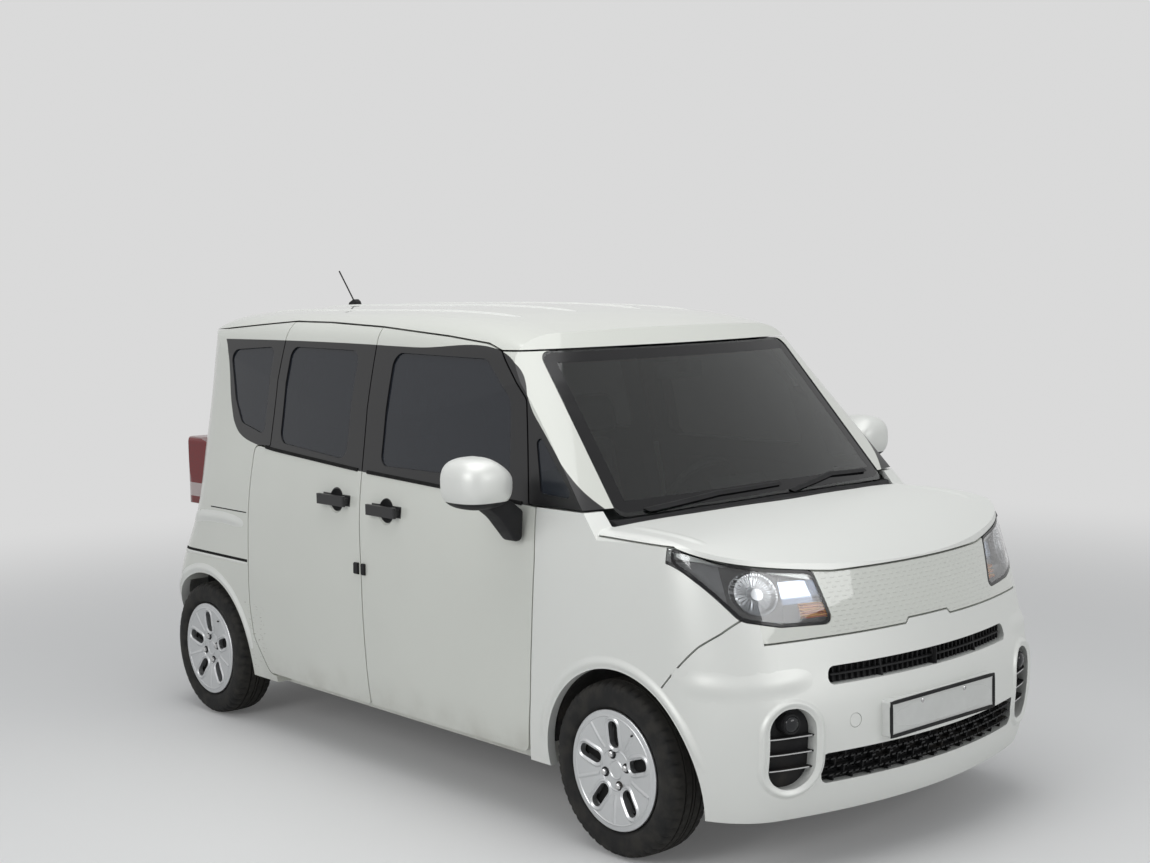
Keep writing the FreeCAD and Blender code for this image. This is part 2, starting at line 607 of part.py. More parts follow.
def exhaust():
    """Down pipe, a straight pipe under the floor and a silencer behind the rear axle."""
    x, z, radius = -30, 186, 21
    pipe = rod(radius, (x, -1030, z), (x, 1450, z))
    down = rod(radius, (x, -1030, z - radius), (x, -1030, 330 + radius))
    joint = rod(radius, (x, -1119.7, 330), (x, -1030 + radius, 330))
    silencer = along_y([(-330, 168, 30), (70, 168, 30), (70, 268, 30), (-330, 268, 30)], 1445, 1640)
    tail = rod(15, (-290, 1630, 200), (-290, 1705, 198))
    hanger = box((-140, -100), (1500, 1530), (260, 447.7))
    return largest(fuse(pipe, down, joint, silencer, tail, hanger))


def dashboard():
    """The dashboard with its cluster and console."""
    profile = [(-839.7, 700), (-839.7, 940), (-800, 990, 30), (-640, 1000, 60), (-560, 950, 30),
               (-570, 800, 60), (-640, 690, 40)]
    body = along_x(profile, -640, 640)
    cluster = along_x([(-640, 960), (-600, 1050, 25), (-520, 1020, 20), (-500, 930, 10), (-570, 900)], 210,
                      510)
    console = along_x([(-839.7, 720), (-600, 780, 30), (-540, 520, 60), (-330, 440, 40), (-330, 330.3),
                       (-690, 330.3),
                       (-839.7, 580)], -120, 120)
    return largest(fuse(body, cluster, console))


def steering_wheel(dash):
    """The steering wheel on its column."""
    centre, tilt = (360.0, -395.0, 935.0), 28.0
    ring = Part.makeTorus(178, 15)
    hub = Part.makeCylinder(58, 40, Vec(0, 0, -30))
    spokes = [Part.makeBox(178, 44, 14, Vec(-178 if index else 0, -22, -12)) for index in range(2)]
    spokes.append(Part.makeBox(44, 178, 14, Vec(-22, 0, -12)))
    column = Part.makeCylinder(34, 230, Vec(0, 0, -250))
    shape = fuse(ring, hub, spokes[0], spokes[1], spokes[2], column)
    shape.rotate(Vec(0, 0, 0), Vec(1, 0, 0), tilt - 90)
    shape.translate(Vec(*centre))
    return largest(shape.cut(dash))


def seat(x, half, y, floor, cushion_depth=480, back_top=1150, rest=True):
    """One seat from its floor mount to its headrest."""
    base = box((x - half + 60, x + half - 60), (y + 40, y + cushion_depth - 60), (floor, 440))
    cushion = along_x([(y, 430, 40), (y, 590, 50), (y + cushion_depth, 560, 20),
                       (y + cushion_depth + 20, 430, 20)], x - half, x + half)
    back_y = y + cushion_depth - 40
    back = along_x([(back_y, 470, 30), (back_y + 130, back_top, 50), (back_y + 230, back_top, 50),
                    (back_y + 130, 450, 30)], x - half, x + half)
    parts = [base, cushion, back]
    if rest:
        parts.append(along_x([(back_y + 140, back_top - 10, 10), (back_y + 150, back_top + 180, 40),
                              (back_y + 240, back_top + 180, 40),
                              (back_y + 230, back_top - 10, 10)], x - 120, x + 120))
    return largest(fuse(*parts))


MIRROR_CENTRE = (-932.0, -700.0, 1146.0)
MIRROR_RADII = (128.0, 112.0, 104.0)


def ellipsoid(centre, radii):
    """A ball stretched to three radii."""
    matrix = FreeCAD.Matrix()
    matrix.scale(Vec(*radii))
    matrix.move(Vec(*centre))
    return Part.makeSphere(1).transformGeometry(matrix)


def mirror(outer):
    """The right outside mirror: an arm on the door skin and a rounded head with a flat glass side."""
    x, y, z = MIRROR_CENTRE
    head = ellipsoid(MIRROR_CENTRE, MIRROR_RADII).common(box((x - 112, x + 96), (y - 200, y + 62),
                                                             (z - 72, z + 92)))
    arm_front = [(x - 10, z - 66), (x + 86, z - 66), (x + 160, z - 96), (x + 160, z - 196),
                 (x + 132, z - 196, 10), (x + 60, z - 110, 20)]
    arm_side = [(y - 66, z - 60), (y - 74, z - 110, 20), (y - 40, z - 200, 14), (y + 40, z - 200, 14),
                (y + 44, z - 60)]
    arm = along_y(arm_front, y - 90, y + 70).common(along_x(arm_side, x - 40, x + 170))
    return largest(fuse(head, arm).cut(outer))


PLATE_BOLT_SPACING = 210.0
PLATE_BOLT_RADIUS = 3.5
PLATE_BOLT_RISE = 34.0
FRONT_PLATE_Z = 458.0
REAR_PLATE_Z = 912.0
ANTENNA_X = -20.0
ANTENNA_Y = 1330.0
ANTENNA_Z = 1696.0
WIPER_OUTLINES = [
    [(-560, 1062, 6), (-540, 1052, 4), (-250, 1078, 30), (40, 1084, 6), (40, 1093, 4), (-250, 1090, 30)],
    [(60, 1066, 6), (80, 1058, 4), (330, 1086, 30), (560, 1076, 6), (560, 1086, 4), (330, 1098, 30)],
]
FOG_X = 571.0
FOG_Z = 410.0
FOG_HALF_WIDTH = 73.0
FOG_HALF_HEIGHT = 121.0
SLAT_RISES = (-62, -14, 34)
TOW_BORE_RADIUS = 8.0
TOW_SOCKET_RADIUS = 15.0
TOW_SOCKET_Y = -1742.0
TOW_CAP_RADIUS = 22.0
TOW_X = -362.0
TOW_Z = 470.0


def fog_outline(margin):
    """Outline of the bumper's fog lamp opening."""
    x, z = -FOG_X, FOG_Z
    corner = FOG_HALF_WIDTH - 3
    return grown([(x - FOG_HALF_WIDTH, z - FOG_HALF_HEIGHT, corner),
                  (x + FOG_HALF_WIDTH, z - FOG_HALF_HEIGHT, corner),
                  (x + FOG_HALF_WIDTH, z + FOG_HALF_HEIGHT, corner),
                  (x - FOG_HALF_WIDTH, z + FOG_HALF_HEIGHT, corner)], margin)


def fog_lamp(plate_shell, fin_shell):
    """A recessed housing behind the bumper's opening, with three slats and a round lamp above them."""
    hole = along_y(fog_outline(-0.3), -1900, -1450)
    fins = [box((-FOG_X - 100, -FOG_X + 100), (-1900, -1450),
                (FOG_Z + rise - 2.5, FOG_Z + rise + 2.5)) for rise in SLAT_RISES]
    lamp = cylinder_y(30, -1900, -1450, -FOG_X, FOG_Z + 74)
    fronts = fin_shell.common(fuse(*fins, lamp)).common(hole)
    return largest(plate_shell.common(hole).fuse(fronts))


def grilles(plate_shell, fin_shell, slot, lower):
    """Backing plates behind the bumper's two openings, with bars that reach towards the skin."""
    upper_bars = [box((-420, 420), (-1900, -1600), (606, 611))]
    upper_bars += [box((x - 3, x + 3), (-1900, -1600), (580, 640)) for x in (-232, 0, 232)]
    lower_bars = [box((-470, 470), (-1900, -1600), (z - 2, z + 2)) for z in (312, 337, 362)]
    for row in range(4):
        start = -420 + 35 * (row % 2)
        lower_bars += [box((x - 2, x + 2), (-1900, -1600), (288 + 25 * row,
                                                            312 + 25 * row)) for x in range(start, 421, 70)]
    pieces = []
    for opening, bars in ((slot, upper_bars), (lower, lower_bars)):
        fins = fin_shell.common(fuse(*bars)).common(opening)
        pieces.append(largest(plate_shell.common(opening).fuse(fins)))
    return Part.makeCompound(pieces)


def antenna():
    """The roof antenna."""
    foot = along_x([(-34, -8), (34, -8), (30, 10, 8), (-6, 26, 8), (-26, 14, 8)], -13, 13)
    mast = rod(3.2, (0, 0, 8), (0, 118, 150))
    shape = largest(fuse(foot, mast))
    shape.translate(Vec(ANTENNA_X, ANTENNA_Y, ANTENNA_Z))
    return shape


def wipers(surface_shell):
    """Two arms with blades, lying just above the windscreen along its lower edge."""
    pieces = []
    for outline in WIPER_OUTLINES:
        pieces.append(largest(surface_shell.common(along_y(outline, -1400, -850))))
    return Part.makeCompound(pieces)


REAR_WIPER_OUTLINE = [(-40, 1118, 16), (-40, 1086, 16), (22, 1086, 16), (330, 1148, 6), (330, 1160, 6),
                      (10, 1118, 16)]


def bolt_bores(z, y_low, y_high):
    """Bores for the plate's bolts in the panel behind it."""
    bores = [cylinder_y(PLATE_BOLT_RADIUS + 1, y_low, y_high, x, z + PLATE_BOLT_RISE)
             for x in (-PLATE_BOLT_SPACING / 2, PLATE_BOLT_SPACING / 2)]
    return fuse(*bores)


def plate(outer, y_face, y_back, z):
    """A blank plate on a block that fills the space to the curved panel, with two bolt holes."""
    low, high = sorted((y_face, y_back))
    shape = along_y([(-262, z - 56, 8), (262, z - 56, 8), (262, z + 56, 8), (-262, z + 56, 8)], low,
                    high).cut(outer)
    for x in (-PLATE_BOLT_SPACING / 2, PLATE_BOLT_SPACING / 2):
        shape = shape.cut(cylinder_y(PLATE_BOLT_RADIUS, low - 5, high + 5, x, z + PLATE_BOLT_RISE))
    return largest(shape)


def handle_bar(y0, y1, z0, z1, skin):
    """A pull handle on two feet, standing proud of the door skin."""
    middle = (z0 + z1) / 2
    bar = along_z([(-skin - 34, y0, 12), (-skin - 34, y1, 12), (-skin - 20, y1, 6), (-skin - 20, y0, 6)],
                  z0, z1)
    feet = [box((-skin - 26, -skin + 6), (y, y + 26), (middle - 11, middle + 11)) for y in (y0 + 6,
                                                                                            y1 - 32)]
    return fuse(bar, *feet)


def handle_cup(y, z, skin):
    """The round finger recess behind a pull handle."""
    radius, opening = 70.0, 44.0
    reach = math.sqrt(radius ** 2 - opening ** 2)
    return Part.makeSphere(radius, Vec(-skin - reach, y, z))


def main():
    """Build the car and write each piece."""
    os.makedirs("parts", exist_ok=True)
    half_gap = SEAM_GAP / 2
    outer = master(0, 0, 0, 0)
    lip_inner = master(8, 8, 8, 8)
    glass_depth = GLASS_SETBACK + GLASS_THICKNESS
    glass_inner = master(*[glass_depth] * 4)
    glass_outer = master(*[GLASS_SETBACK] * 4)
    glass_shell = glass_outer.cut(glass_inner)
    panel_inner = master(SIDE_WALL, END_WALL, HOOD_WALL, ROOF_WALL)
    ring_outer = master(SIDE_WALL + SEAL_GAP, END_WALL + SEAL_GAP, HOOD_WALL + SEAL_GAP,
                        ROOF_WALL + SEAL_GAP)
    ring_inner = master(SIDE_WALL + SEAL_GAP + 22, END_WALL + SEAL_GAP + 22, HOOD_WALL + SEAL_GAP + 22,
                        ROOF_WALL + SEAL_GAP + 16)
    skin_inner = master(30, 30, 26, 26)
    apron_shell = skin_inner.cut(master(46, 46, 42, 42))
    fin_shell = glass_inner.cut(skin_inner)
    near = box((-1000, -420), (-1160, 1900), (100, 1800))
    panel_shell = outer.cut(panel_inner)
    lip_side = outer.common(near).cut(lip_inner)
    deep_side = lip_inner.common(near).cut(panel_inner)
    body_side = outer.common(near).cut(ring_inner)
    ring_side = ring_outer.common(near).cut(ring_inner)
    stop_inner = master(SIDE_WALL + 0.3, END_WALL + 0.3, HOOD_WALL + 0.3, ROOF_WALL + 0.3)
    seal_side = stop_inner.common(near).cut(ring_outer)
    skin_shell = outer.cut(skin_inner)
    glass_side = glass_shell.common(near)

    front_arch = cylinder_x(ARCH_RADIUS, -1000, -450, FRONT_ARCH_Y, ARCH_Z)
    rear_arch = cylinder_x(ARCH_RADIUS, -1000, -556, REAR_ARCH_Y, ARCH_Z)
    side = (-1000, -ROOF_MIDDLE - half_gap)
    screen_cut = along_y(WINDSCREEN_OUTLINE, -1400, -300)

    def door(seam, glass, relief, relief_y):
        """A door's outer lip and its narrower body."""
        outline = grown(seam, -half_gap)
        lip = lip_side.common(along_x(outline, *side))
        inset = [(p[0] - (relief if p[0] > relief_y else 0), p[1], p[2]) for p in outline]
        deep = deep_side.common(along_x(inset, *side))
        return largest(largest(lip.fuse(deep)).cut(along_x(glass, *side)).cut(rear_arch))

    def pane(outline):
        """A pane of side glass."""
        return largest(glass_side.common(along_x(grown(outline, -0.3), *side)))

    front_door = door(FRONT_DOOR_SEAM, FRONT_DOOR_GLASS, 12, 150)
    rear_door = door(REAR_DOOR_SEAM, REAR_DOOR_GLASS, 16, 840)
    front_handle = handle_bar(-60, 120, 962, 1000, 783)
    rear_handle = handle_bar(264, 444, 976, 1014, 782)
    front_door = largest(front_door.cut(handle_cup(30, 981, 783)).fuse(front_handle))
    rear_door = largest(rear_door.cut(handle_cup(354, 995, 782)).fuse(rear_handle))
    save("door_front_right", front_door)
    save("door_front_left", mirrored(front_door))
    save("sliding_door", rear_door)
    save("door_rear_left", mirrored(rear_door))
    front_pane, rear_pane = pane(FRONT_DOOR_GLASS), pane(REAR_DOOR_GLASS)
    save("glass_front_right", front_pane)
    save("glass_front_left", mirrored(front_pane))
    save("glass_sliding_door", rear_pane)
    save("glass_rear_left", mirrored(rear_pane))
    outside_mirror = mirror(outer)
    save("mirror_right", outside_mirror)
    save("mirror_left", mirrored(outside_mirror))

    save("windscreen", largest(glass_shell.common(along_y(grown(WINDSCREEN_OUTLINE, -0.3), -1400, -300))))

    hood_above = HOOD_LINE + [(-1900, 1300), (-1060, 1300)]
    hood_zone = along_x(grown(hood_above, -half_gap), -1000, 1000)
    hood_clear = along_x(grown(hood_above, half_gap), -1000, 1000)
    rear_edge = [(-1000, -1076), (-690, -1076, 60), (-380, -1142, 900), (0, -1176, 900), (380, -1142, 900),
                 (690, -1076, 60), (1000, -1076)]
    hood_plan = [(-1000, -1900), (1000, -1900)]
    hood_plan += [(p[0], p[1] - half_gap, p[2] if len(p) > 2 else 0) for p in reversed(rear_edge)]
    hood_keep = along_z(hood_plan, 850, 1300)
    save("hood", largest(skin_shell.common(hood_zone).common(hood_keep)))

    head_cut = along_y(grown(HEADLAMP_OUTLINE, half_gap), -1900, -1380)
    headlamp = largest(skin_shell.common(along_y(HEADLAMP_OUTLINE, -1900, -1380)).cut(hood_clear))
    pocket = skin_shell.cut(master(24, 24, 24, 24)).common(along_y(grown(HEADLAMP_OUTLINE, -7), -1900,
                                                                   -1380))
    pocket = pocket.cut(along_x(grown(hood_above, 8), -1000, 1000))
    bowl = cylinder_y(BOWL_RADIUS, -1900, -1400, BOWL_X, BOWL_Z).cut(cylinder_y(BOWL_RADIUS - 6, -1900,
                                                                                -1400, BOWL_X, BOWL_Z))
    bulb = cylinder_y(17, -1900, -1400, BOWL_X, BOWL_Z)
    brow = along_y(BROW_OUTLINE, -1900, -1380)
    ribs = [box((-470, -396), (-1900, -1380), (z, z + 6)) for z in (778, 794, 810)]
    inside = glass_inner.common(fuse(bowl, bulb, brow, *ribs)).common(pocket)
    lens = largest(headlamp.cut(glass_outer))
    save("headlamp_lenses", Part.makeCompound([lens, mirrored(lens)]))
    headlamp = largest(headlamp.common(glass_outer).cut(pocket).fuse(inside))
    save("headlamps", Part.makeCompound([headlamp, mirrored(headlamp)]))

    wiper_shell = master(-9, -9, -9, -9).cut(master(*[GLASS_SETBACK - 0.3] * 4))
    save("wipers", wipers(wiper_shell))

    cowl_plan = [(p[0], p[1] + half_gap, p[2] if len(p) > 2 else 0) for p in rear_edge[1:-1]]
    cowl_plan = cowl_plan + [(690, -900), (-690, -900)]
    under_glass = [(-800, 800), (800, 800), (800, 1034), (655, 1034, 30), (340, 1048, 900), (0, 1053, 900),
                   (-340, 1048, 900), (-655, 1034, 30), (-800, 1034)]
    cowl = largest(skin_shell.common(along_z(cowl_plan, 900, 1100)).common(along_y(under_glass, -1400,
                                                                                   -861)))
    save("cowl", cowl)

    fender = skin_shell.common(along_x(grown(FENDER_SEAM, -half_gap), -1000, -400))
    fender = fender.cut(front_arch).cut(head_cut).cut(hood_clear.common(along_z(hood_plan, 850, 1300)))
    fender = largest(fender.cut(along_z([(-693, -1500), (-693, -700), (0, -700), (0, -1500)], 900, 1200)))
    save("fender_right", fender)
    save("fender_left", mirrored(fender))

    bumper = skin_shell.common(along_x(grown(BUMPER_SEAM, -half_gap), -1000, 1000))
    bumper = bumper.cut(front_arch).cut(mirrored(front_arch)).cut(head_cut).cut(mirrored(head_cut)).cut(hood_clear)
    slot = along_y([(-444, 582, 24), (444, 582, 24), (432, 636, 24), (-432, 636, 24)], -1900, -1500)
    lower = along_y([(-470, 290, 26), (470, 290, 26), (486, 384, 26), (-486, 384, 26)], -1900, -1500)
    fog = along_y(fog_outline(0), -1900, -1500)
    tow_cap_hole = cylinder_y(TOW_CAP_RADIUS, -1900, -1500, TOW_X, TOW_Z)
    bumper = bumper.cut(slot).cut(lower).cut(fog).cut(mirrored(fog)).cut(tow_cap_hole)
    bumper = bumper.cut(bolt_bores(FRONT_PLATE_Z, -1850, -1730))
    panel_zone = grown(FRONT_PANEL_SEAM + [(1000, 1000), (-1000, 1000)], -half_gap)
    bumper_zone = grown([(-1000, 100)] + [(1000, 100)] + list(reversed(FRONT_PANEL_SEAM)), -half_gap)
    middle_zone = box((-PANEL_HALF_WIDTH, PANEL_HALF_WIDTH), (-1900, -1500), (100, 1000))
    panel_space = along_y(panel_zone, -1900, -1500).common(middle_zone)
    front_panel = largest(bumper.common(panel_space))
    save("front_panel", front_panel)
    panel_gap = along_y(grown(panel_zone, SEAM_GAP), -1900, -1500).common(middle_zone)
    save("front_bumper", largest(bumper.cut(panel_gap)))
    save("front_grilles", grilles(apron_shell, fin_shell, slot, lower))
    fog_light = fog_lamp(apron_shell, fin_shell)
    save("fog_lamps", Part.makeCompound([fog_light, mirrored(fog_light)]))

    roof_zone = ROOF_SEAM + [(TAILGATE_HINGE_Y, 1606), (TAILGATE_HINGE_Y, 1900), (-1100, 1900),
                             (-1100, 1556)]
    roof = panel_shell.common(along_x(grown(roof_zone, -half_gap), -1000, 1000))
    middle = grown([(-1100, 1556), (TAILGATE_HINGE_Y, 1556), (TAILGATE_HINGE_Y, 1900), (-1100, 1900)],
                   -half_gap)
    roof_middle = panel_shell.common(along_x(middle, half_gap - ROOF_MIDDLE, ROOF_MIDDLE - half_gap))
    roof = largest(roof.fuse(roof_middle).cut(screen_cut))
    save("roof_panel", roof)

    tail_zone = along_y(grown(TAILGATE_OUTLINE, -half_gap), 1400, 1900)
    tail_top = along_x(grown([(TAILGATE_HINGE_Y, 500), (2000, 500), (2000, 1900),
                              (TAILGATE_HINGE_Y, 1900)], -half_gap),
                       -1000, 1000)
    tailgate = panel_shell.common(tail_zone).common(tail_top).cut(along_y(TAILGATE_GLASS, 1400, 1900))
    tailgate = largest(tailgate.cut(bolt_bores(REAR_PLATE_Z, 1560, 1720)))
    save("tailgate", tailgate)
    save("tailgate_glass", largest(glass_shell.common(along_y(grown(TAILGATE_GLASS, -0.3), 1400, 1900))))

    rear_wiper = largest(wiper_shell.common(along_y(REAR_WIPER_OUTLINE, 1400, 1900)).cut(tailgate))
    save("rear_wiper", rear_wiper)

    rear_zone = [(1560, 150), (1560, 545), (1640, 600, 60), (1900, 600), (1900, 150)]
    rear_bumper = skin_shell.common(along_x(grown(rear_zone, -half_gap), -1000, 1000))
    rear_bumper = largest(rear_bumper.cut(rear_arch).cut(mirrored(rear_arch)))
    save("rear_bumper", largest(rear_bumper))

    lamp_cut = along_y(grown(TAIL_LAMP_OUTLINE, half_gap), 1380, 1900)
    lamp_plan = [(-732, 1440, 20), (-560, 1440), (-560, 1660, 30), (-650, 1660, 60), (-732, 1590, 80)]
    lamp = along_z(lamp_plan, 860, 1170).common(along_y(TAIL_LAMP_OUTLINE, 1380, 1900))
    lamp = lamp.common(along_x(TAIL_LAMP_SIDE, -1000, 1000)).cut(panel_inner)
    save("tail_lamps", Part.makeCompound([largest(lamp), mirrored(largest(lamp))]))

    a_zone = [(-1150, 1070), (-752, 1070), (-682, 1403, 40), (-508, 1553), (-700, 1553), (-1150, 1200)]
    a_pillar = body_side.common(along_x(a_zone, *side)).cut(screen_cut)
    a_pillar = a_pillar.cut(along_x(grown(FRONT_DOOR_SEAM, half_gap), *side)).cut(along_x(CORNER_GLASS,
                                                                                          *side))
    quarter_zone = [(855, 216), (1600, 216), (1900, 400), (1900, 1560), (TAILGATE_HINGE_Y + half_gap, 1600)]
    quarter_zone += [(p[0], p[1] - half_gap) for p in reversed(ROOF_SEAM[5:])] + [(700, 1640), (700, 1400),
                                                                                  (855, 1400)]
    quarter = body_side.common(along_x(quarter_zone, *side)).cut(along_x(grown(REAR_DOOR_SEAM, half_gap),
                                                                         *side))
    quarter = quarter.cut(along_x(grown(rear_zone, half_gap), *side))
    quarter = quarter.cut(along_y(grown(TAILGATE_OUTLINE, half_gap), 1400, 1900))
    quarter = quarter.cut(lamp_cut.cut(panel_inner)).cut(rear_arch).cut(along_x(QUARTER_GLASS, *side))
    hole = along_x(grown(DOOR_PAIR_SEAM, -44), *side)
    edge = along_x(grown(DOOR_PAIR_SEAM, 24), *side)
    front_hole, rear_hole = [along_x(grown(seam, -44), *side) for seam in (FRONT_DOOR_SEAM, REAR_DOOR_SEAM)]
    sill = box((-700, -652), (-760, 905), (205, 300))
    rail = ring_outer.common(box((-640, -515), (-430, 1490), (1500, 1720))).cut(ring_inner)
    rail = rail.fuse(panel_inner.common(box((-548, -515), (-430, 1490), (1500, 1720))).cut(ring_inner))

    def frame(ring_band, seal_band):
        """One side's pillars, ring, rail, sill and seals."""
        ring = ring_side.common(ring_band)
        seal = seal_side.common(seal_band)
        pieces = [largest(a_pillar), largest(quarter), largest(ring), largest(rail),
                  sill] + [s for s in seal.Solids if s.Volume > 1000]
        return largest(fuse(*pieces).cut(rear_arch))
    seal_edge = along_x(grown(DOOR_PAIR_SEAM, -16), *side).cut(along_x(grown(DOOR_PAIR_SEAM, -32), *side))
    seal_edge = seal_edge.common(box((-1000, -500), (-600, 800), (100, 420))).cut(box((-1000, -500),
                                                                                      (120, 270),
                                                                                      (100, 420)))
    save("side_frame_right", frame(edge.cut(hole), seal_edge))
    save("side_frame_left", mirrored(frame(edge.cut(front_hole).cut(rear_hole), seal_edge)))
    fixed = [pane(QUARTER_GLASS), pane(CORNER_GLASS)]
    save("quarter_glass", Part.makeCompound(fixed + [mirrored(p) for p in fixed]))

    save("floor_pan", floor_pan(ring_inner, stop_inner, skin_inner))
    save("front_structure", front_structure(apron_shell, skin_inner, stop_inner))
    save("front_suspension", front_suspension())
    save("rear_axle", rear_axle())
    save("engine", engine())
    save("exhaust", exhaust())
    save("antenna", largest(antenna().cut(outer)))
    save("front_plate", plate(outer, -1808, -1740, FRONT_PLATE_Z))
    save("rear_plate", plate(outer, 1672, 1600, REAR_PLATE_Z))
    dash = dashboard()
    save("dashboard", dash)
    save("steering_wheel", steering_wheel(dash))
    fronts = [seat(x, 235, -330, 232.3) for x in (-330, 330)]
    save("front_seats", Part.makeCompound(fronts))
    save("rear_seat", seat(0, 540, 560, 340.3, 430, 1130, False))
    for name, sign in (("right", -1), ("left", 1)):
        save("knuckle_" + name, knuckle(sign))
        for place, y in (("front", FRONT_AXLE_Y), ("rear", REAR_AXLE_Y)):
            save("tyre_" + place + "_" + name, tyre(sign, y))
            save("wheel_" + place + "_" + name, wheel(sign, y))


if __name__ == "__main__":
    main()
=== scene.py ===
import logging
import math
from dataclasses import dataclass
from enum import Enum

import bmesh
import bpy
from mathutils import Matrix, Vector
from mathutils.bvhtree import BVHTree


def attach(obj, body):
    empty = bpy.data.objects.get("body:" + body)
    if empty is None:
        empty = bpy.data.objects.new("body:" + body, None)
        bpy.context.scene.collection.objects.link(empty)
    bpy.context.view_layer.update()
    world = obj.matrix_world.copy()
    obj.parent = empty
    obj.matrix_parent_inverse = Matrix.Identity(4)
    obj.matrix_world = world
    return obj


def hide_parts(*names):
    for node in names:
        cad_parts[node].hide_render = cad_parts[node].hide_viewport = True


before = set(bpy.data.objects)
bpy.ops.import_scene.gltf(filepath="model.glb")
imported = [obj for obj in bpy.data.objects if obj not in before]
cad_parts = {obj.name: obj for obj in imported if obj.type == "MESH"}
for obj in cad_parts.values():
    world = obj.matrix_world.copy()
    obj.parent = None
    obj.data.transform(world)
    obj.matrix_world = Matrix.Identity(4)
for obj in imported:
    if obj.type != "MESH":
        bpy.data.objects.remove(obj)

LOG = logging.getLogger("dressing")
Colour = tuple[float, float, float]
Point = tuple[float, float, float]
Pair = tuple[float, float]
Line = list[Pair]
Socket = bpy.types.NodeSocket
Form = bmesh.types.BMesh
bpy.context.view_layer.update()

# Side view of the black window band: its lower and upper edge, as (y, z) in metres.
BELT = [(-1.20, 1.060), (-1.036, 1.059), (-0.749, 1.065), (-0.253, 1.088), (0.187, 1.106), (0.844, 1.145),
        (0.982, 1.160), (1.100, 1.186), (1.165, 1.225), (1.216, 1.301), (1.330, 1.573), (1.50, 1.690)]
BAND_TOP = [(-1.20, 0.92), (-1.036, 1.059), (-0.733, 1.345), (-0.494, 1.557), (-0.016, 1.560), (0.405, 1.568),
            (0.890, 1.573), (1.50, 1.573)]
WHEEL_Z = 0.277
HALF_TRACK = 0.704
FRONT_AXLE = -1.146
REAR_AXLE = 1.374
ARCH_Z = 0.260
ARCH_RADIUS = 0.338
FRONT_ARCH = -1.166
REAR_ARCH = 1.373
# Half the width of a mask's soft edge, and how deep the foot of a laid profile lies under the surface.
SOFT_EDGE = 0.0005
FOOT = 0.0012
# The least turn, in degrees, that stays a sharp edge: on pressed ridges, and on other pieces.
RIDGE_ANGLE = 60.0
SHARP_ANGLE = 35.0
MERGE = 1e-6

WHITE: Colour = (0.70, 0.715, 0.66)
DUST: Colour = (0.20, 0.17, 0.13)
ROAD_FILM: Colour = (0.20, 0.17, 0.125)
HEADLINER: Colour = (0.34, 0.33, 0.31)
LINING: Colour = (0.085, 0.085, 0.088)


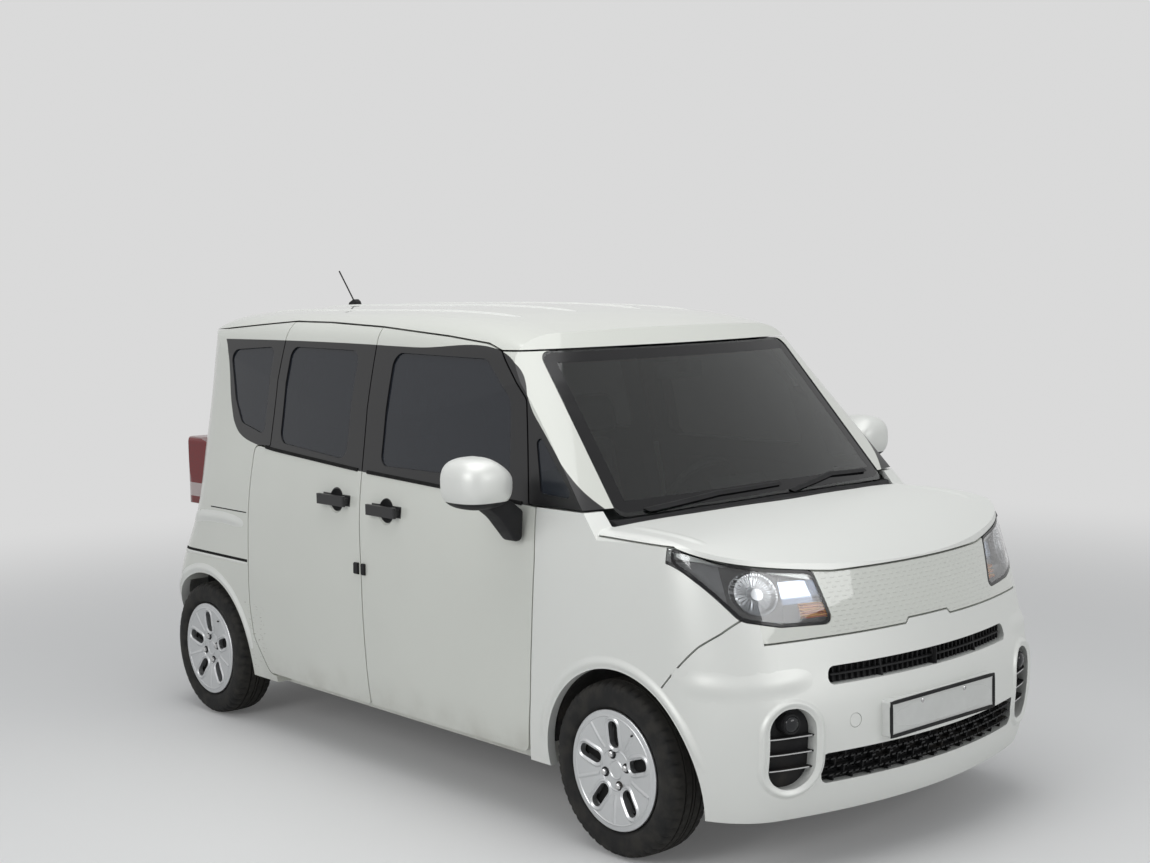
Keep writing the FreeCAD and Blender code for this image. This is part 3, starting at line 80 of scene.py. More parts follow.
class Graph:
    """The node tree of a material or a world, with short calls for the nodes that the finishes share."""

    def __init__(self, owner: bpy.types.ID) -> None:
        """Take the tree of a new material or world, with its shader."""
        owner.use_nodes = True
        self.owner = owner
        self.tree = owner.node_tree
        self.shader = self.tree.nodes.get("Principled BSDF") or self.tree.nodes["Background"]
        self.place = self.node("ShaderNodeTexCoord").outputs["Object"]

    def node(self, kind: str, **values: object) -> bpy.types.Node:
        """Add a node and set its properties.

        Args:
            kind: The node's type name.
            values: Properties of the node, by name.

        Returns:
            The new node.
        """
        made = self.tree.nodes.new(kind)
        for name, value in values.items():
            setattr(made, name, value)
        return made

    def link(self, source: Socket, target: Socket) -> None:
        """Join an output to an input."""
        self.tree.links.new(source, target)

    def stretched(self, scale: Point) -> Socket:
        """Give the Object coordinates scaled by a factor for each axis.

        Args:
            scale: The factor for X, Y and Z.

        Returns:
            The scaled coordinates.
        """
        made = self.node("ShaderNodeMapping")
        made.inputs["Scale"].default_value = scale
        self.link(self.place, made.inputs["Vector"])
        return made.outputs["Vector"]

    def noise(self, size: float, detail: float = 3.0, scale: Point = (1, 1, 1)) -> Socket:
        """Give a noise whose spots are about size metres across.

        Args:
            size: Size of its spots.
            detail: Number of its finer layers.
            scale: Factor of the coordinates for X, Y and Z.

        Returns:
            The noise, from 0 to 1.
        """
        made = self.node("ShaderNodeTexNoise")
        made.inputs["Scale"].default_value = 1.0 / size
        made.inputs["Detail"].default_value = detail
        self.link(self.stretched(scale), made.inputs["Vector"])
        return made.outputs["Fac"]

    def axis(self, name: str) -> Socket:
        """Give one of the Object coordinates, X, Y or Z.

        Args:
            name: The axis.

        Returns:
            Its coordinate.
        """
        made = self.node("ShaderNodeSeparateXYZ")
        self.link(self.place, made.inputs["Vector"])
        return made.outputs[name]

    def ramp(self, source: Socket, low: float, high: float,
             first: float = 0.0, last: float = 1.0) -> Socket:
        """Turn a value between low and high into one between first and last, and hold it outside them.

        Args:
            source: The value.
            low: Where the change starts.
            high: Where it ends.
            first: The result at low.
            last: The result at high.

        Returns:
            The result.
        """
        made = self.node("ShaderNodeMapRange", interpolation_type="SMOOTHSTEP")
        for name, value in zip(("From Min", "From Max", "To Min", "To Max"), (low, high, first, last)):
            made.inputs[name].default_value = value
        self.link(source, made.inputs["Value"])
        return made.outputs["Result"]

    def maths(self, operation: str, one: Socket, two: "Socket | float" = 0.0) -> Socket:
        """Join two values by an operation of the Math node.

        Args:
            operation: The node's operation.
            one: The first value.
            two: The second value, a socket or a number.

        Returns:
            The result.
        """
        made = self.node("ShaderNodeMath", operation=operation)
        self.link(one, made.inputs[0])
        if isinstance(two, (int, float)):
            made.inputs[1].default_value = two
        else:
            self.link(two, made.inputs[1])
        return made.outputs[0]

    def times(self, one: Socket, two: "Socket | float") -> Socket:
        """Multiply two values."""
        return self.maths("MULTIPLY", one, two)

    def length(self, one: Socket, two: Socket) -> Socket:
        """Give the distance that two offsets at right angles make."""
        squares = [self.times(value, value) for value in (one, two)]
        return self.maths("SQRT", self.maths("ADD", *squares))

    def blend(self, share: Socket, one: "Colour | Socket", two: "Colour | Socket") -> Socket:
        """Mix two colours by a share.

        Args:
            share: Share of the second colour.
            one: The first colour.
            two: The second colour.

        Returns:
            The mixed colour.
        """
        made = self.node("ShaderNodeMix", data_type="RGBA")
        self.link(share, made.inputs[0])
        for socket, value in ((made.inputs[6], one), (made.inputs[7], two)):
            if isinstance(value, Socket):
                self.link(value, socket)
            else:
                socket.default_value = (*value, 1.0)
        return made.outputs[2]

    def between(self, source: Socket, low: float, high: float, soft: float = SOFT_EDGE) -> Socket:
        """Give 1 where a value lies between low and high, and 0 elsewhere."""
        rising = self.ramp(source, low - soft, low + soft)
        return self.times(rising, self.ramp(source, high - soft, high + soft, 1.0, 0.0))

    def side(self) -> Socket:
        """Give the distance from the car's middle plane."""
        return self.maths("ABSOLUTE", self.axis("X"))

    def window(self, one: Socket, ones: Pair, two: Socket, twos: Pair) -> Socket:
        """Give 1 inside a rectangle of two values."""
        return self.times(self.between(one, *ones), self.between(two, *twos))

    def disc(self, one: Socket, two: Socket, centre: Pair, radius: float) -> Socket:
        """Give 1 inside a circle of two values."""
        away = self.length(self.maths("SUBTRACT", one, centre[0]), self.maths("SUBTRACT", two, centre[1]))
        return self.ramp(away, radius - SOFT_EDGE, radius + SOFT_EDGE, 1.0, 0.0)

    def over(self, source: Socket, value: Socket, points: Line) -> Socket:
        """Give 1 where a value lies above a smooth line through (source, value) points.

        Args:
            source: The value along the line.
            value: The value that is compared.
            points: The line's points.

        Returns:
            1 above the line, and 0 below it.
        """
        low, high = points[0][0], points[-1][0]
        floor, roof = 0.9, 1.8
        share = self.node("ShaderNodeMapRange")
        for name, number in zip(("From Min", "From Max"), (low, high)):
            share.inputs[name].default_value = number
        self.link(source, share.inputs["Value"])
        made = self.node("ShaderNodeFloatCurve")
        line = made.mapping.curves[0]
        line.points[0].location = (0.0, (points[0][1] - floor) / (roof - floor))
        line.points[1].location = (1.0, (points[-1][1] - floor) / (roof - floor))
        for one, two in points[1:-1]:
            line.points.new((one - low) / (high - low), (two - floor) / (roof - floor))
        made.mapping.update()
        self.link(share.outputs["Result"], made.inputs["Value"])
        level = self.maths("ADD", self.times(made.outputs["Value"], roof - floor), floor)
        return self.ramp(self.maths("SUBTRACT", value, level), -SOFT_EDGE, SOFT_EDGE)

    def facing(self, name: str) -> Socket:
        """Give 1 on faces that look into the cabin along an axis: X inboard, Y forwards or Z down.

        Args:
            name: The axis.

        Returns:
            1 on such faces, and 0 elsewhere.
        """
        made = self.node("ShaderNodeSeparateXYZ")
        self.link(self.node("ShaderNodeTexCoord").outputs["Normal"], made.inputs["Vector"])
        way = made.outputs[name]
        if name == "X":
            way = self.times(way, self.maths("SIGN", self.axis("X")))
        return self.ramp(way, -0.5, -0.3, 1.0, 0.0)

    def mixed(self, share: Socket, one: Socket, two: float) -> Socket:
        """Mix a value with a number by a share.

        Args:
            share: Share of the number.
            one: The value.
            two: The number.

        Returns:
            The mixed value.
        """
        made = self.node("ShaderNodeMix", data_type="FLOAT")
        self.link(share, made.inputs[0])
        self.link(one, made.inputs[2])
        made.inputs[3].default_value = two
        return made.outputs[0]

    def bump(self, height: Socket, depth: float) -> None:
        """Let a height of 0 to 1 raise the surface by that depth in metres.

        Args:
            height: The height.
            depth: The depth in metres.
        """
        made = self.node("ShaderNodeBump")
        made.inputs["Distance"].default_value = depth
        made.inputs["Strength"].default_value = 1.0
        self.link(height, made.inputs["Height"])
        self.link(made.outputs["Normal"], self.shader.inputs["Normal"])

    def show(self, share: Socket, colour: Colour) -> None:
        """Let a plain colour take the place of the shader by a share.

        Args:
            share: Share of the plain colour.
            colour: The colour, at a strength of 1.
        """
        world = isinstance(self.owner, bpy.types.World)
        glow = self.node("ShaderNodeBackground" if world else "ShaderNodeEmission")
        glow.inputs["Color"].default_value = (*colour, 1.0)
        mix = self.node("ShaderNodeMixShader")
        for source, target in zip((share, self.shader.outputs[0], glow.outputs[0]), mix.inputs):
            self.link(source, target)
        output = self.tree.nodes["World Output" if world else "Material Output"]
        self.link(mix.outputs["Shader"], output.inputs["Surface"])

    def set(self, **values: object) -> None:
        """Set the shader's own sockets; an underscore stands for a space.

        Args:
            values: A socket, a number or a colour for each of them, by name.
        """
        for name, value in values.items():
            socket = self.shader.inputs[name.replace("_", " ")]
            if isinstance(value, Socket):
                self.link(value, socket)
            else:
                socket.default_value = (*value, 1.0) if isinstance(value, tuple) else value


@dataclass(frozen=True)
class Finish:
    """A plain moulded or painted surface with faint mottling and a fine grain.

    Attributes:
        name: The material's name.
        colour: Its colour.
        roughness: Its roughness.
        metallic: 1 for bare metal.
        mottle: How far the colour varies.
        mottle_size: Size of the variation's spots.
        grain: Size of the grain.
        depth: Depth of the grain.
        dust: How far dust settles on it near the road.
        specular: Strength of its plain reflection.
    """

    name: str
    colour: Colour
    roughness: float = 0.5
    metallic: float = 0.0
    mottle: float = 0.12
    mottle_size: float = 0.08
    grain: float = 0.0015
    depth: float = 0.00008
    dust: float = 0.0
    specular: float = 0.5

    def build(self) -> bpy.types.Material:
        """Make the material.

        Returns:
            The material.
        """
        material = bpy.data.materials.new(self.name)
        self.dress(Graph(material))
        return material

    def dress(self, graph: Graph) -> None:
        """Lay the colour, roughness and grain into the node tree.

        Args:
            graph: The material's node tree.
        """
        darker = tuple(value * (1.0 - self.mottle) for value in self.colour)
        spots = graph.ramp(graph.noise(self.mottle_size), 0.35, 0.65)
        colour = graph.blend(spots, darker, self.colour)
        if self.dust:
            height = graph.ramp(graph.axis("Z"), 0.12, 0.55, 1.0, 0.0)
            patches = graph.ramp(graph.noise(0.11, 5.0), 0.42, 0.7)
            colour = graph.blend(graph.times(graph.times(height, patches), self.dust), colour, DUST)
        graph.set(Base_Color=colour, Metallic=self.metallic, Specular_IOR_Level=self.specular)
        least, most = self.roughness * 0.88, min(1.0, self.roughness * 1.12)
        graph.set(Roughness=graph.ramp(graph.noise(self.mottle_size * 0.6), 0.3, 0.7, least, most))
        if self.depth:
            graph.bump(graph.noise(self.grain, 2.0), self.depth)


@dataclass(frozen=True)
class Paint(Finish):
    """Body paint under a clear coat, with road film low down.

    Attributes:
        coat: Weight of the clear coat.
        band: Whether the black window band crosses the panel.
        lining: Axis that the panel's cabin side faces, X, Y or Z, where it is lined.
        grips: Places (y, z) of black pull handles.
        dimples: Whether the panel carries rows of small dashes.
        grip_half: Half length and half height of a pull handle's bar.
        grip_cup: Radius of the cup behind it.
        dimple_step: Spacing of the dashes, across and up.
    """

    colour: Colour = WHITE
    roughness: float = 0.35
    mottle: float = 0.02
    grain: float = 0.012
    depth: float = 0.00001
    coat: float = 1.0
    band: bool = False
    lining: str = ""
    grips: tuple[Pair, ...] = ()
    dimples: bool = False
    grip_half: Pair = (0.092, 0.0205)
    grip_cup: float = 0.0445
    dimple_step: Pair = (0.030, 0.014)

    def masks(self, graph: Graph) -> list[tuple[Socket, Colour, float, float]]:
        """Give each area that isn't plain paint, as its share, colour, roughness and clear coat.

        Args:
            graph: The material's node tree.

        Returns:
            The areas, from the lowest layer up.
        """
        areas = []
        if self.band or self.grips:
            along, height = graph.axis("Y"), graph.axis("Z")
        if self.band:
            below = graph.maths("SUBTRACT", graph.over(along, height, BAND_TOP), 1.0)
            share = graph.times(graph.over(along, height, BELT), graph.maths("ABSOLUTE", below))
            areas.append((share, (0.007, 0.007, 0.008), 0.3, 0.12))
        for y, z in self.grips:
            reach, rise = self.grip_half
            bar = graph.window(along, (y - reach, y + reach), height, (z - rise, z + rise))
            cup = graph.disc(along, height, (y, z), self.grip_cup)
            out = graph.ramp(graph.side(), 0.70, 0.71)
            share = graph.times(graph.maths("MAXIMUM", bar, cup), out)
            areas.append((share, (0.012, 0.012, 0.013), 0.42, 0.0))
        if self.lining:
            tone = HEADLINER if self.lining == "Z" else LINING
            areas.append((graph.facing(self.lining), tone, 0.85, 0.0))
        return areas

    def film(self, graph: Graph) -> Socket:
        """Give the share of road film: a veil and specks low down, and scuffs near the wheel and the chin.

        Args:
            graph: The material's node tree.

        Returns:
            The share.
        """
        along, height = graph.axis("Y"), graph.axis("Z")
        low = graph.ramp(height, 0.19, 0.40, 1.0, 0.0)
        veil = graph.times(low, graph.ramp(graph.noise(0.16, 7.0), 0.36, 0.86, 0.15, 1.0))
        specks = graph.times(graph.times(low, graph.ramp(graph.noise(0.006, 2.0), 0.66, 0.74)), 0.8)
        film = graph.times(graph.maths("MAXIMUM", veil, specks), self.dust)
        scuffs = graph.ramp(graph.noise(0.010, 4.0, (1.0, 0.35, 2.5)), 0.62, 0.70)
        wheel = graph.window(along, (0.90, 1.05), height, (0.24, 0.52))
        chin = graph.window(along, (-1.9, -1.45), height, (0.15, 0.27))
        worn = graph.times(scuffs, graph.maths("MAXIMUM", wheel, chin))
        return graph.maths("MAXIMUM", film, graph.times(worn, 0.7))

    def dashes(self, graph: Graph) -> Socket:
        """Give the height of the rows of small dashes, each row set off by half a step.

        Args:
            graph: The material's node tree.

        Returns:
            The height.
        """
        across, up = self.dimple_step
        row = graph.times(graph.axis("Z"), 1.0 / up)
        shift = graph.times(graph.maths("FLOOR", row), 0.5)
        cell = graph.maths("ADD", graph.times(graph.axis("X"), 1.0 / across), shift)
        side, rise = (graph.maths("FRACT", value) for value in (cell, row))
        dash = graph.times(graph.between(side, 0.25, 0.75, 0.08), graph.between(rise, 0.35, 0.65, 0.12))
        return graph.times(dash, graph.between(graph.axis("X"), -0.40, 0.40, 0.01))

    def dress(self, graph: Graph) -> None:
        """Lay the paint, its film, its other areas and a faint orange peel into the node tree.

        Args:
            graph: The material's node tree.
        """
        spots = graph.ramp(graph.noise(0.5, 1.0), 0.35, 0.65)
        colour = graph.blend(spots, tuple(v * (1.0 - self.mottle) for v in self.colour), self.colour)
        rough = graph.ramp(graph.noise(0.2), 0.3, 0.7, self.roughness, self.roughness + 0.03)
        coat = graph.ramp(graph.noise(0.3), 0.3, 0.7, self.coat, self.coat * 0.98)
        for share, tone, gloss, clear in self.masks(graph):
            colour = graph.blend(share, colour, tone)
            rough = graph.mixed(share, rough, gloss)
            coat = graph.mixed(share, coat, clear)
        film = self.film(graph)
        graph.set(Base_Color=graph.blend(film, colour, ROAD_FILM), Roughness=graph.mixed(film, rough, 0.75))
        graph.set(Metallic=0.0, Coat_Roughness=0.03, Coat_IOR=1.5, Coat_Weight=coat)
        if self.dimples:
            graph.bump(self.dashes(graph), 0.0012)
        else:
            graph.bump(graph.noise(self.grain, 1.0), self.depth)


@dataclass(frozen=True)
class Glass(Finish):
    """Tinted glass or a clear or coloured lens."""

    ior: float = 1.5

    def dress(self, graph: Graph) -> None:
        """Lay the tint and a faint film into the node tree.

        Args:
            graph: The material's node tree.
        """
        graph.set(Base_Color=self.colour, Transmission_Weight=1.0, IOR=self.ior, Metallic=0.0)
        film = graph.ramp(graph.noise(0.09, 4.0), 0.35, 0.75, self.roughness, self.roughness + 0.03)
        graph.set(Roughness=film)


@dataclass(frozen=True)
class HeadlampHousing(Finish):
    """The inside of a headlamp: a bowl with a painted reflection, dark at the bottom and bright at the top,
    grey brow and outer panel, an inner panel with a painted bluish reflection, and amber ribs with painted
    highlights in a black housing.
    """

    bowl: Pair = (0.600, 0.858)
    bowl_radius: float = 0.0605
    bulb_radius: float = 0.0172
    brow_start: Pair = (0.426, 0.884)
    brow_slope: float = 0.24
    wave_step: float = 0.0085
    flutes: float = 22.0

    def dress(self, graph: Graph) -> None:
        """Lay the areas by their place seen from the front.

        Args:
            graph: The material's node tree.
        """
        across, height = graph.side(), graph.axis("Z")
        start, foot = self.brow_start
        slope = graph.maths("ADD", graph.times(graph.maths("SUBTRACT", across, start), self.brow_slope), foot)
        over = graph.maths("SUBTRACT", height, slope)
        brow = graph.times(graph.ramp(over, 0.0, 0.001), graph.ramp(across, start + 0.002, start + 0.004))
        bowl = graph.disc(across, height, self.bowl, self.bowl_radius)
        bulb = graph.disc(across, height, self.bowl, self.bulb_radius)
        ribs = graph.window(across, (0.394, 0.472), height, (0.776, 0.818))
        inner = graph.window(across, (0.400, 0.520), height, (0.818, 0.884))
        outer = graph.window(across, (0.670, 0.742), height, (0.80, 0.95))
        wave = graph.maths("SINE", graph.times(height, math.tau / self.wave_step))
        # amber colour with painted highlights: bright and dark stripes follow the ribs, as light caught by
        # each rib
        amber_with_painted_highlights = graph.blend(graph.ramp(wave, -0.4, 0.4), (0.50, 0.10, 0.02), (1.0, 0.56, 0.14))
        # painted reflection: the bowl's metal runs from dark grey at the bottom to bright silver at the top
        silver = graph.blend(graph.ramp(height, 0.812, 0.872), (0.16, 0.17, 0.18), (0.80, 0.81, 0.82))
        # painted reflection: the inner panel runs from dark blue-grey at the bottom to a bright pale blue at
        # the top
        panel = graph.blend(graph.ramp(height, 0.832, 0.842), (0.10, 0.12, 0.16), (0.50, 0.58, 0.72))
        colour = graph.blend(outer, self.colour, (0.15, 0.155, 0.16))
        metal = graph.ramp(brow, 0.0, 1.0, 0.0, 0.35)
        rough = graph.ramp(outer, 0.0, 1.0, 0.18, 0.4)
        areas = ((inner, panel, 0.6, 0.12), (brow, (0.46, 0.48, 0.46), 0.35, 0.25), (bowl, silver, 1.0, 0.10),
                 (bulb, (0.82, 0.84, 0.86), 0.3, 0.1), (ribs, amber_with_painted_highlights, 0.0, 0.15))
        for share, tone, shine, gloss in areas:
            colour = graph.blend(share, colour, tone)
            metal = graph.mixed(share, metal, shine)
            rough = graph.mixed(share, rough, gloss)
        graph.set(Base_Color=colour, Metallic=metal, Roughness=rough)
        away, up = (graph.maths("SUBTRACT", value, middle)
                    for value, middle in zip((across, height), self.bowl))
        turn = graph.times(graph.maths("ARCTAN2", away, up), self.flutes)
        flutes = graph.times(graph.maths("SINE", turn), graph.maths("SUBTRACT", bowl, bulb))
        graph.bump(graph.maths("ADD", flutes, graph.times(wave, ribs)), 0.0016)


@dataclass(frozen=True)
class TailLens(Finish):
    """A red tail lamp lens with a clear band, a darker foot and fine upright flutes."""

    clear_band: Pair = (0.905, 0.962)
    dark_foot: Pair = (0.8, 0.900)
    flute: float = 0.009

    def dress(self, graph: Graph) -> None:
        """Lay the red, the clear band, the dark foot and the flutes.

        Args:
            graph: The material's node tree.
        """
        height = graph.axis("Z")
        colour = graph.blend(graph.between(height, *self.clear_band), self.colour, (0.50, 0.42, 0.41))
        colour = graph.blend(graph.between(height, *self.dark_foot), colour, (0.16, 0.008, 0.008))
        graph.set(Base_Color=colour, Coat_Weight=0.15, Coat_Roughness=0.02, Specular_IOR_Level=0.25)
        graph.set(Roughness=graph.ramp(graph.noise(0.05), 0.3, 0.7, 0.10, 0.16))
        cell = graph.maths("FRACT", graph.times(graph.axis("X"), 1.0 / self.flute))
        graph.bump(graph.between(cell, 0.2, 0.8, 0.18), 0.0006)


@dataclass(frozen=True)
class Woven(Finish):
    """Seat cloth: a fine weave of two crossing threads with a soft sheen."""

    thread: float = 0.0016
    second: Colour = (0.11, 0.11, 0.12)

    def dress(self, graph: Graph) -> None:
        """Lay the threads, their colours and the sheen.

        Args:
            graph: The material's node tree.
        """
        pitch = math.tau / (2 * self.thread)
        waves = [graph.maths("SINE", graph.times(graph.axis(axis), pitch)) for axis in ("X", "Z", "Y")]
        weave = graph.times(waves[0], graph.maths("ADD", waves[1], waves[2]))
        raised = graph.ramp(weave, -1.2, 1.2)
        fibres = graph.ramp(graph.noise(0.003, 3.0), 0.3, 0.7)
        tone = graph.blend(raised, self.colour, self.second)
        graph.set(Base_Color=graph.blend(fibres, tone, tuple(v * 1.25 for v in self.second)))
        graph.set(Sheen_Weight=0.35, Sheen_Roughness=0.5, Metallic=0.0)
        graph.set(Roughness=graph.ramp(fibres, 0.0, 1.0, 0.86, 0.98))
        graph.bump(graph.maths("ADD", raised, graph.times(fibres, 0.5)), 0.0004)


@dataclass(frozen=True)
class Tread(Finish):
    """Tyre rubber with a fine ring pattern on the wall and dust in the grooves."""

    axle: float = FRONT_AXLE
    ring_step: float = 0.004
    wall: Pair = (0.212, 0.242)
    shoulder: Pair = (0.248, 0.262)
    flutes: float = 90.0
    crown: Pair = (0.266, 0.277)

    def dress(self, graph: Graph) -> None:
        """Lay the rubber, the wall's rings and the dust by the distance from the axle.

        Args:
            graph: The material's node tree.
        """
        along = graph.maths("SUBTRACT", graph.axis("Y"), self.axle)
        up = graph.maths("SUBTRACT", graph.axis("Z"), WHEEL_Z)
        reach = graph.length(along, up)
        rings = graph.maths("SINE", graph.times(reach, math.tau / self.ring_step))
        turn = graph.times(graph.maths("ARCTAN2", along, up), self.flutes)
        flutes = graph.times(graph.maths("SINE", turn), graph.between(reach, *self.shoulder, 0.001))
        dirt = graph.times(graph.ramp(graph.noise(0.05, 5.0), 0.38, 0.7), self.dust)
        share = graph.maths("MAXIMUM", dirt, graph.times(graph.ramp(reach, *self.crown), 0.30))
        graph.set(Base_Color=graph.blend(share, self.colour, (0.075, 0.069, 0.058)), Specular_IOR_Level=0.3)
        graph.set(Roughness=graph.ramp(share, 0.0, 1.0, self.roughness, 0.95))
        grain = graph.times(graph.noise(0.002, 2.0), 0.3)
        ridges = graph.maths("ADD", graph.times(rings, graph.between(reach, *self.wall, 0.002)), flutes)
        graph.bump(graph.maths("ADD", grain, graph.times(ridges, 0.5)), 0.0005)


class Finishes(Enum):
    """The finishes that the car uses."""

    PAINT = Paint("body_paint", dust=0.75)
    PANEL = Paint("front_panel_paint", dust=0.5, dimples=True)
    ROOF = Paint("roof_paint", dust=0.5, lining="Z")
    GATE = Paint("tailgate_paint", dust=0.8, lining="Y")
    SIDE = Paint("side_paint", dust=0.45, band=True, lining="X")
    FRONT_DOOR = Paint("front_door_paint", dust=0.45, band=True, lining="X", grips=((0.030, 0.981),))
    REAR_DOOR = Paint("rear_door_paint", dust=0.45, band=True, lining="X", grips=((0.354, 0.995),))
    GLOSS_BLACK = Finish("gloss_black_trim", (0.009, 0.009, 0.010), 0.12, grain=0.006, depth=0.000004,
                         specular=0.35)
    MATT_BLACK = Finish("matt_black_plastic", (0.016, 0.016, 0.017), 0.6, dust=0.2, specular=0.22)
    SEAL = Finish("seal_rubber", (0.008, 0.008, 0.008), 0.8, grain=0.003, depth=0.0001, specular=0.2)
    UNDERBODY = Finish("underbody_coating", (0.035, 0.034, 0.033), 0.75, mottle=0.35, grain=0.006,
                       depth=0.0004, dust=0.7)
    CAST = Finish("cast_metal", (0.30, 0.30, 0.30), 0.5, 0.8, mottle=0.3, grain=0.004, depth=0.0003, dust=0.5)
    RUST = Finish("rusty_steel", (0.20, 0.13, 0.09), 0.75, 0.4, mottle=0.5, mottle_size=0.03,
                  grain=0.004, depth=0.0003, dust=0.4)
    STEEL = Finish("bright_steel", (0.62, 0.62, 0.62), 0.25, 1.0, grain=0.002, depth=0.00002)
    CHROME = Finish("chrome", (0.80, 0.80, 0.80), 0.07, 1.0, mottle=0.03, grain=0.01, depth=0.00001)
    SILVER = Finish("wheel_silver", (0.50, 0.50, 0.50), 0.32, 0.7, mottle=0.08, depth=0.00002, dust=0.35)
    FRONT_TYRE = Tread("front_tyre_rubber", (0.011, 0.011, 0.011), 0.72, dust=0.28)
    REAR_TYRE = Tread("rear_tyre_rubber", (0.011, 0.011, 0.011), 0.72, dust=0.28, axle=REAR_AXLE)
    CABIN = Finish("cabin_plastic", (0.06, 0.06, 0.062), 0.65, grain=0.0012, depth=0.00015)
    CARPET = Finish("carpet", (0.03, 0.03, 0.032), 0.95, mottle=0.4, grain=0.002, depth=0.0008)
    CLOTH = Woven("seat_cloth", (0.045, 0.045, 0.05), 0.92)
    LEATHER = Finish("rim_leather", (0.028, 0.027, 0.027), 0.5, mottle=0.2, grain=0.0018, depth=0.0002)
    SCREEN_GLASS = Finish("display_glass", (0.008, 0.009, 0.011), 0.08, grain=0.01, depth=0.000003)
    TINT = Glass("tinted_glass", (0.035, 0.038, 0.040), 0.0)
    SCREEN = Glass("windscreen_glass", (0.28, 0.31, 0.30), 0.0)
    LENS = Glass("clear_lens", (0.94, 0.95, 0.96), 0.0)
    HOUSING = HeadlampHousing("headlamp_housing", (0.014, 0.014, 0.015))
    TAIL = TailLens("tail_lamp_lens", (0.17, 0.001, 0.003))
    REFLECTOR = TailLens("red_reflector", (0.38, 0.008, 0.010))
    PLATE = Finish("plate_white", (0.70, 0.71, 0.69), 0.4, mottle=0.06, dust=0.3)

    @property
    def material(self) -> bpy.types.Material:
        """The built material, made once."""
        return bpy.data.materials.get(self.value.name) or self.value.build()


NODE_FINISHES: dict[Finishes, str] = {
    Finishes.FRONT_DOOR: "door_front_right door_front_left",
    Finishes.REAR_DOOR: "sliding_door door_rear_left",
    Finishes.PAINT: "hood fender_right fender_left front_bumper rear_bumper mirror_right mirror_left",
    Finishes.PANEL: "front_panel",
    Finishes.ROOF: "roof_panel",
    Finishes.GATE: "tailgate",
    Finishes.SIDE: "side_frame_right side_frame_left",
    Finishes.TINT: "glass_front_right glass_front_left glass_sliding_door glass_rear_left tailgate_glass "
                   "quarter_glass",
    Finishes.SCREEN: "windscreen",
    Finishes.HOUSING: "headlamps",
    Finishes.LENS: "headlamp_lenses",
    Finishes.TAIL: "tail_lamps",
    Finishes.MATT_BLACK: "fog_lamps cowl front_grilles wipers rear_wiper antenna",
    Finishes.PLATE: "front_plate rear_plate",
    Finishes.UNDERBODY: "floor_pan front_structure",
    Finishes.CAST: "front_suspension engine",
    Finishes.RUST: "rear_axle exhaust knuckle_right knuckle_left",
    Finishes.CABIN: "dashboard",
    Finishes.LEATHER: "steering_wheel",
    Finishes.CLOTH: "front_seats rear_seat",
    Finishes.FRONT_TYRE: "tyre_front_right tyre_front_left",
    Finishes.REAR_TYRE: "tyre_rear_right tyre_rear_left",
    Finishes.SILVER: "wheel_front_right wheel_front_left wheel_rear_right wheel_rear_left",
}


def finish_nodes() -> None:
    """Give every node of the frame its finish."""
    finishes = {name: finish for finish, names in NODE_FINISHES.items() for name in names.split()}
    for name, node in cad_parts.items():
        node.data.materials.clear()
        node.data.materials.append(finishes[name].material)


def add_mesh(name: str, form: Form, material: bpy.types.Material,
             smooth: bool = True, angle: float = SHARP_ANGLE) -> bpy.types.Object:
    """Turn a bmesh into an object at the origin.

    Args:
        name: The object's name.
        form: The shape, freed here.
        material: Its finish.
        smooth: Whether its faces are shaded smooth.
        angle: The least turn, in degrees, that stays a sharp edge.

    Returns:
        The new object.
    """
    data = bpy.data.meshes.new(name)
    form.to_mesh(data)
    form.free()
    data.materials.append(material)
    if smooth:
        data.shade_smooth()
        data.set_sharp_from_angle(angle=math.radians(angle))
    made = bpy.data.objects.new(name, data)
    bpy.context.scene.collection.objects.link(made)
    return made


def place_piece(name: str, form: Form, finish: Finishes, body: str,
                angle: float = SHARP_ANGLE) -> bpy.types.Object:
    """Add a finished piece that moves with a body.

    Args:
        name: The piece's name.
        form: Its shape, freed here.
        finish: Its finish.
        body: The body that it rides on.
        angle: The least turn, in degrees, that stays a sharp edge.

    Returns:
        The new object.
    """
    made = add_mesh(name, form, finish.material, angle=angle)
    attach(made, body)
    LOG.info("%s on %s", name, body)
    return made


class View(Enum):
    """Where a ray that looks for the surface comes from: its axis and its start on it."""

    RIGHT = (0, -3.0)
    LEFT = (0, 3.0)
    FRONT = (1, -4.0)
    REAR = (1, 4.0)
    TOP = (2, 3.0)
    CABIN_RIGHT = (0, -0.30)
    CABIN_LEFT = (0, 0.30)


@dataclass
class Skin:
    """The faces of some nodes, on which trim is laid.

    Attributes:
        names: The nodes' names.
    """

    names: tuple[str, ...]

    def __post_init__(self) -> None:
        """Build the search tree."""
        form = bmesh.new()
        for name in self.names:
            form.from_mesh(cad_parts[name].data)
        self.tree = BVHTree.FromBMesh(form)
        form.free()

    def at(self, view: View, u: float, v: float) -> "tuple[Vector, Vector] | None":
        """Find the surface and its outward direction on a ray.

        Args:
            view: Where the ray comes from.
            u: The first of the two other coordinates.
            v: The second.

        Returns:
            The place and the normal, or None where the ray meets nothing.
        """
        axis, start = view.value
        spot = [u, v]
        spot.insert(axis, start)
        ray = [0.0, 0.0, 0.0]
        outwards = view.name.startswith("CABIN")
        ray[axis] = math.copysign(1.0, start) * (1.0 if outwards else -1.0)
        place, normal, _, _ = self.tree.ray_cast(Vector(spot), Vector(ray))
        if place is None:
            return None
        return place, (-normal if normal.dot(Vector(ray)) > 0 else normal)


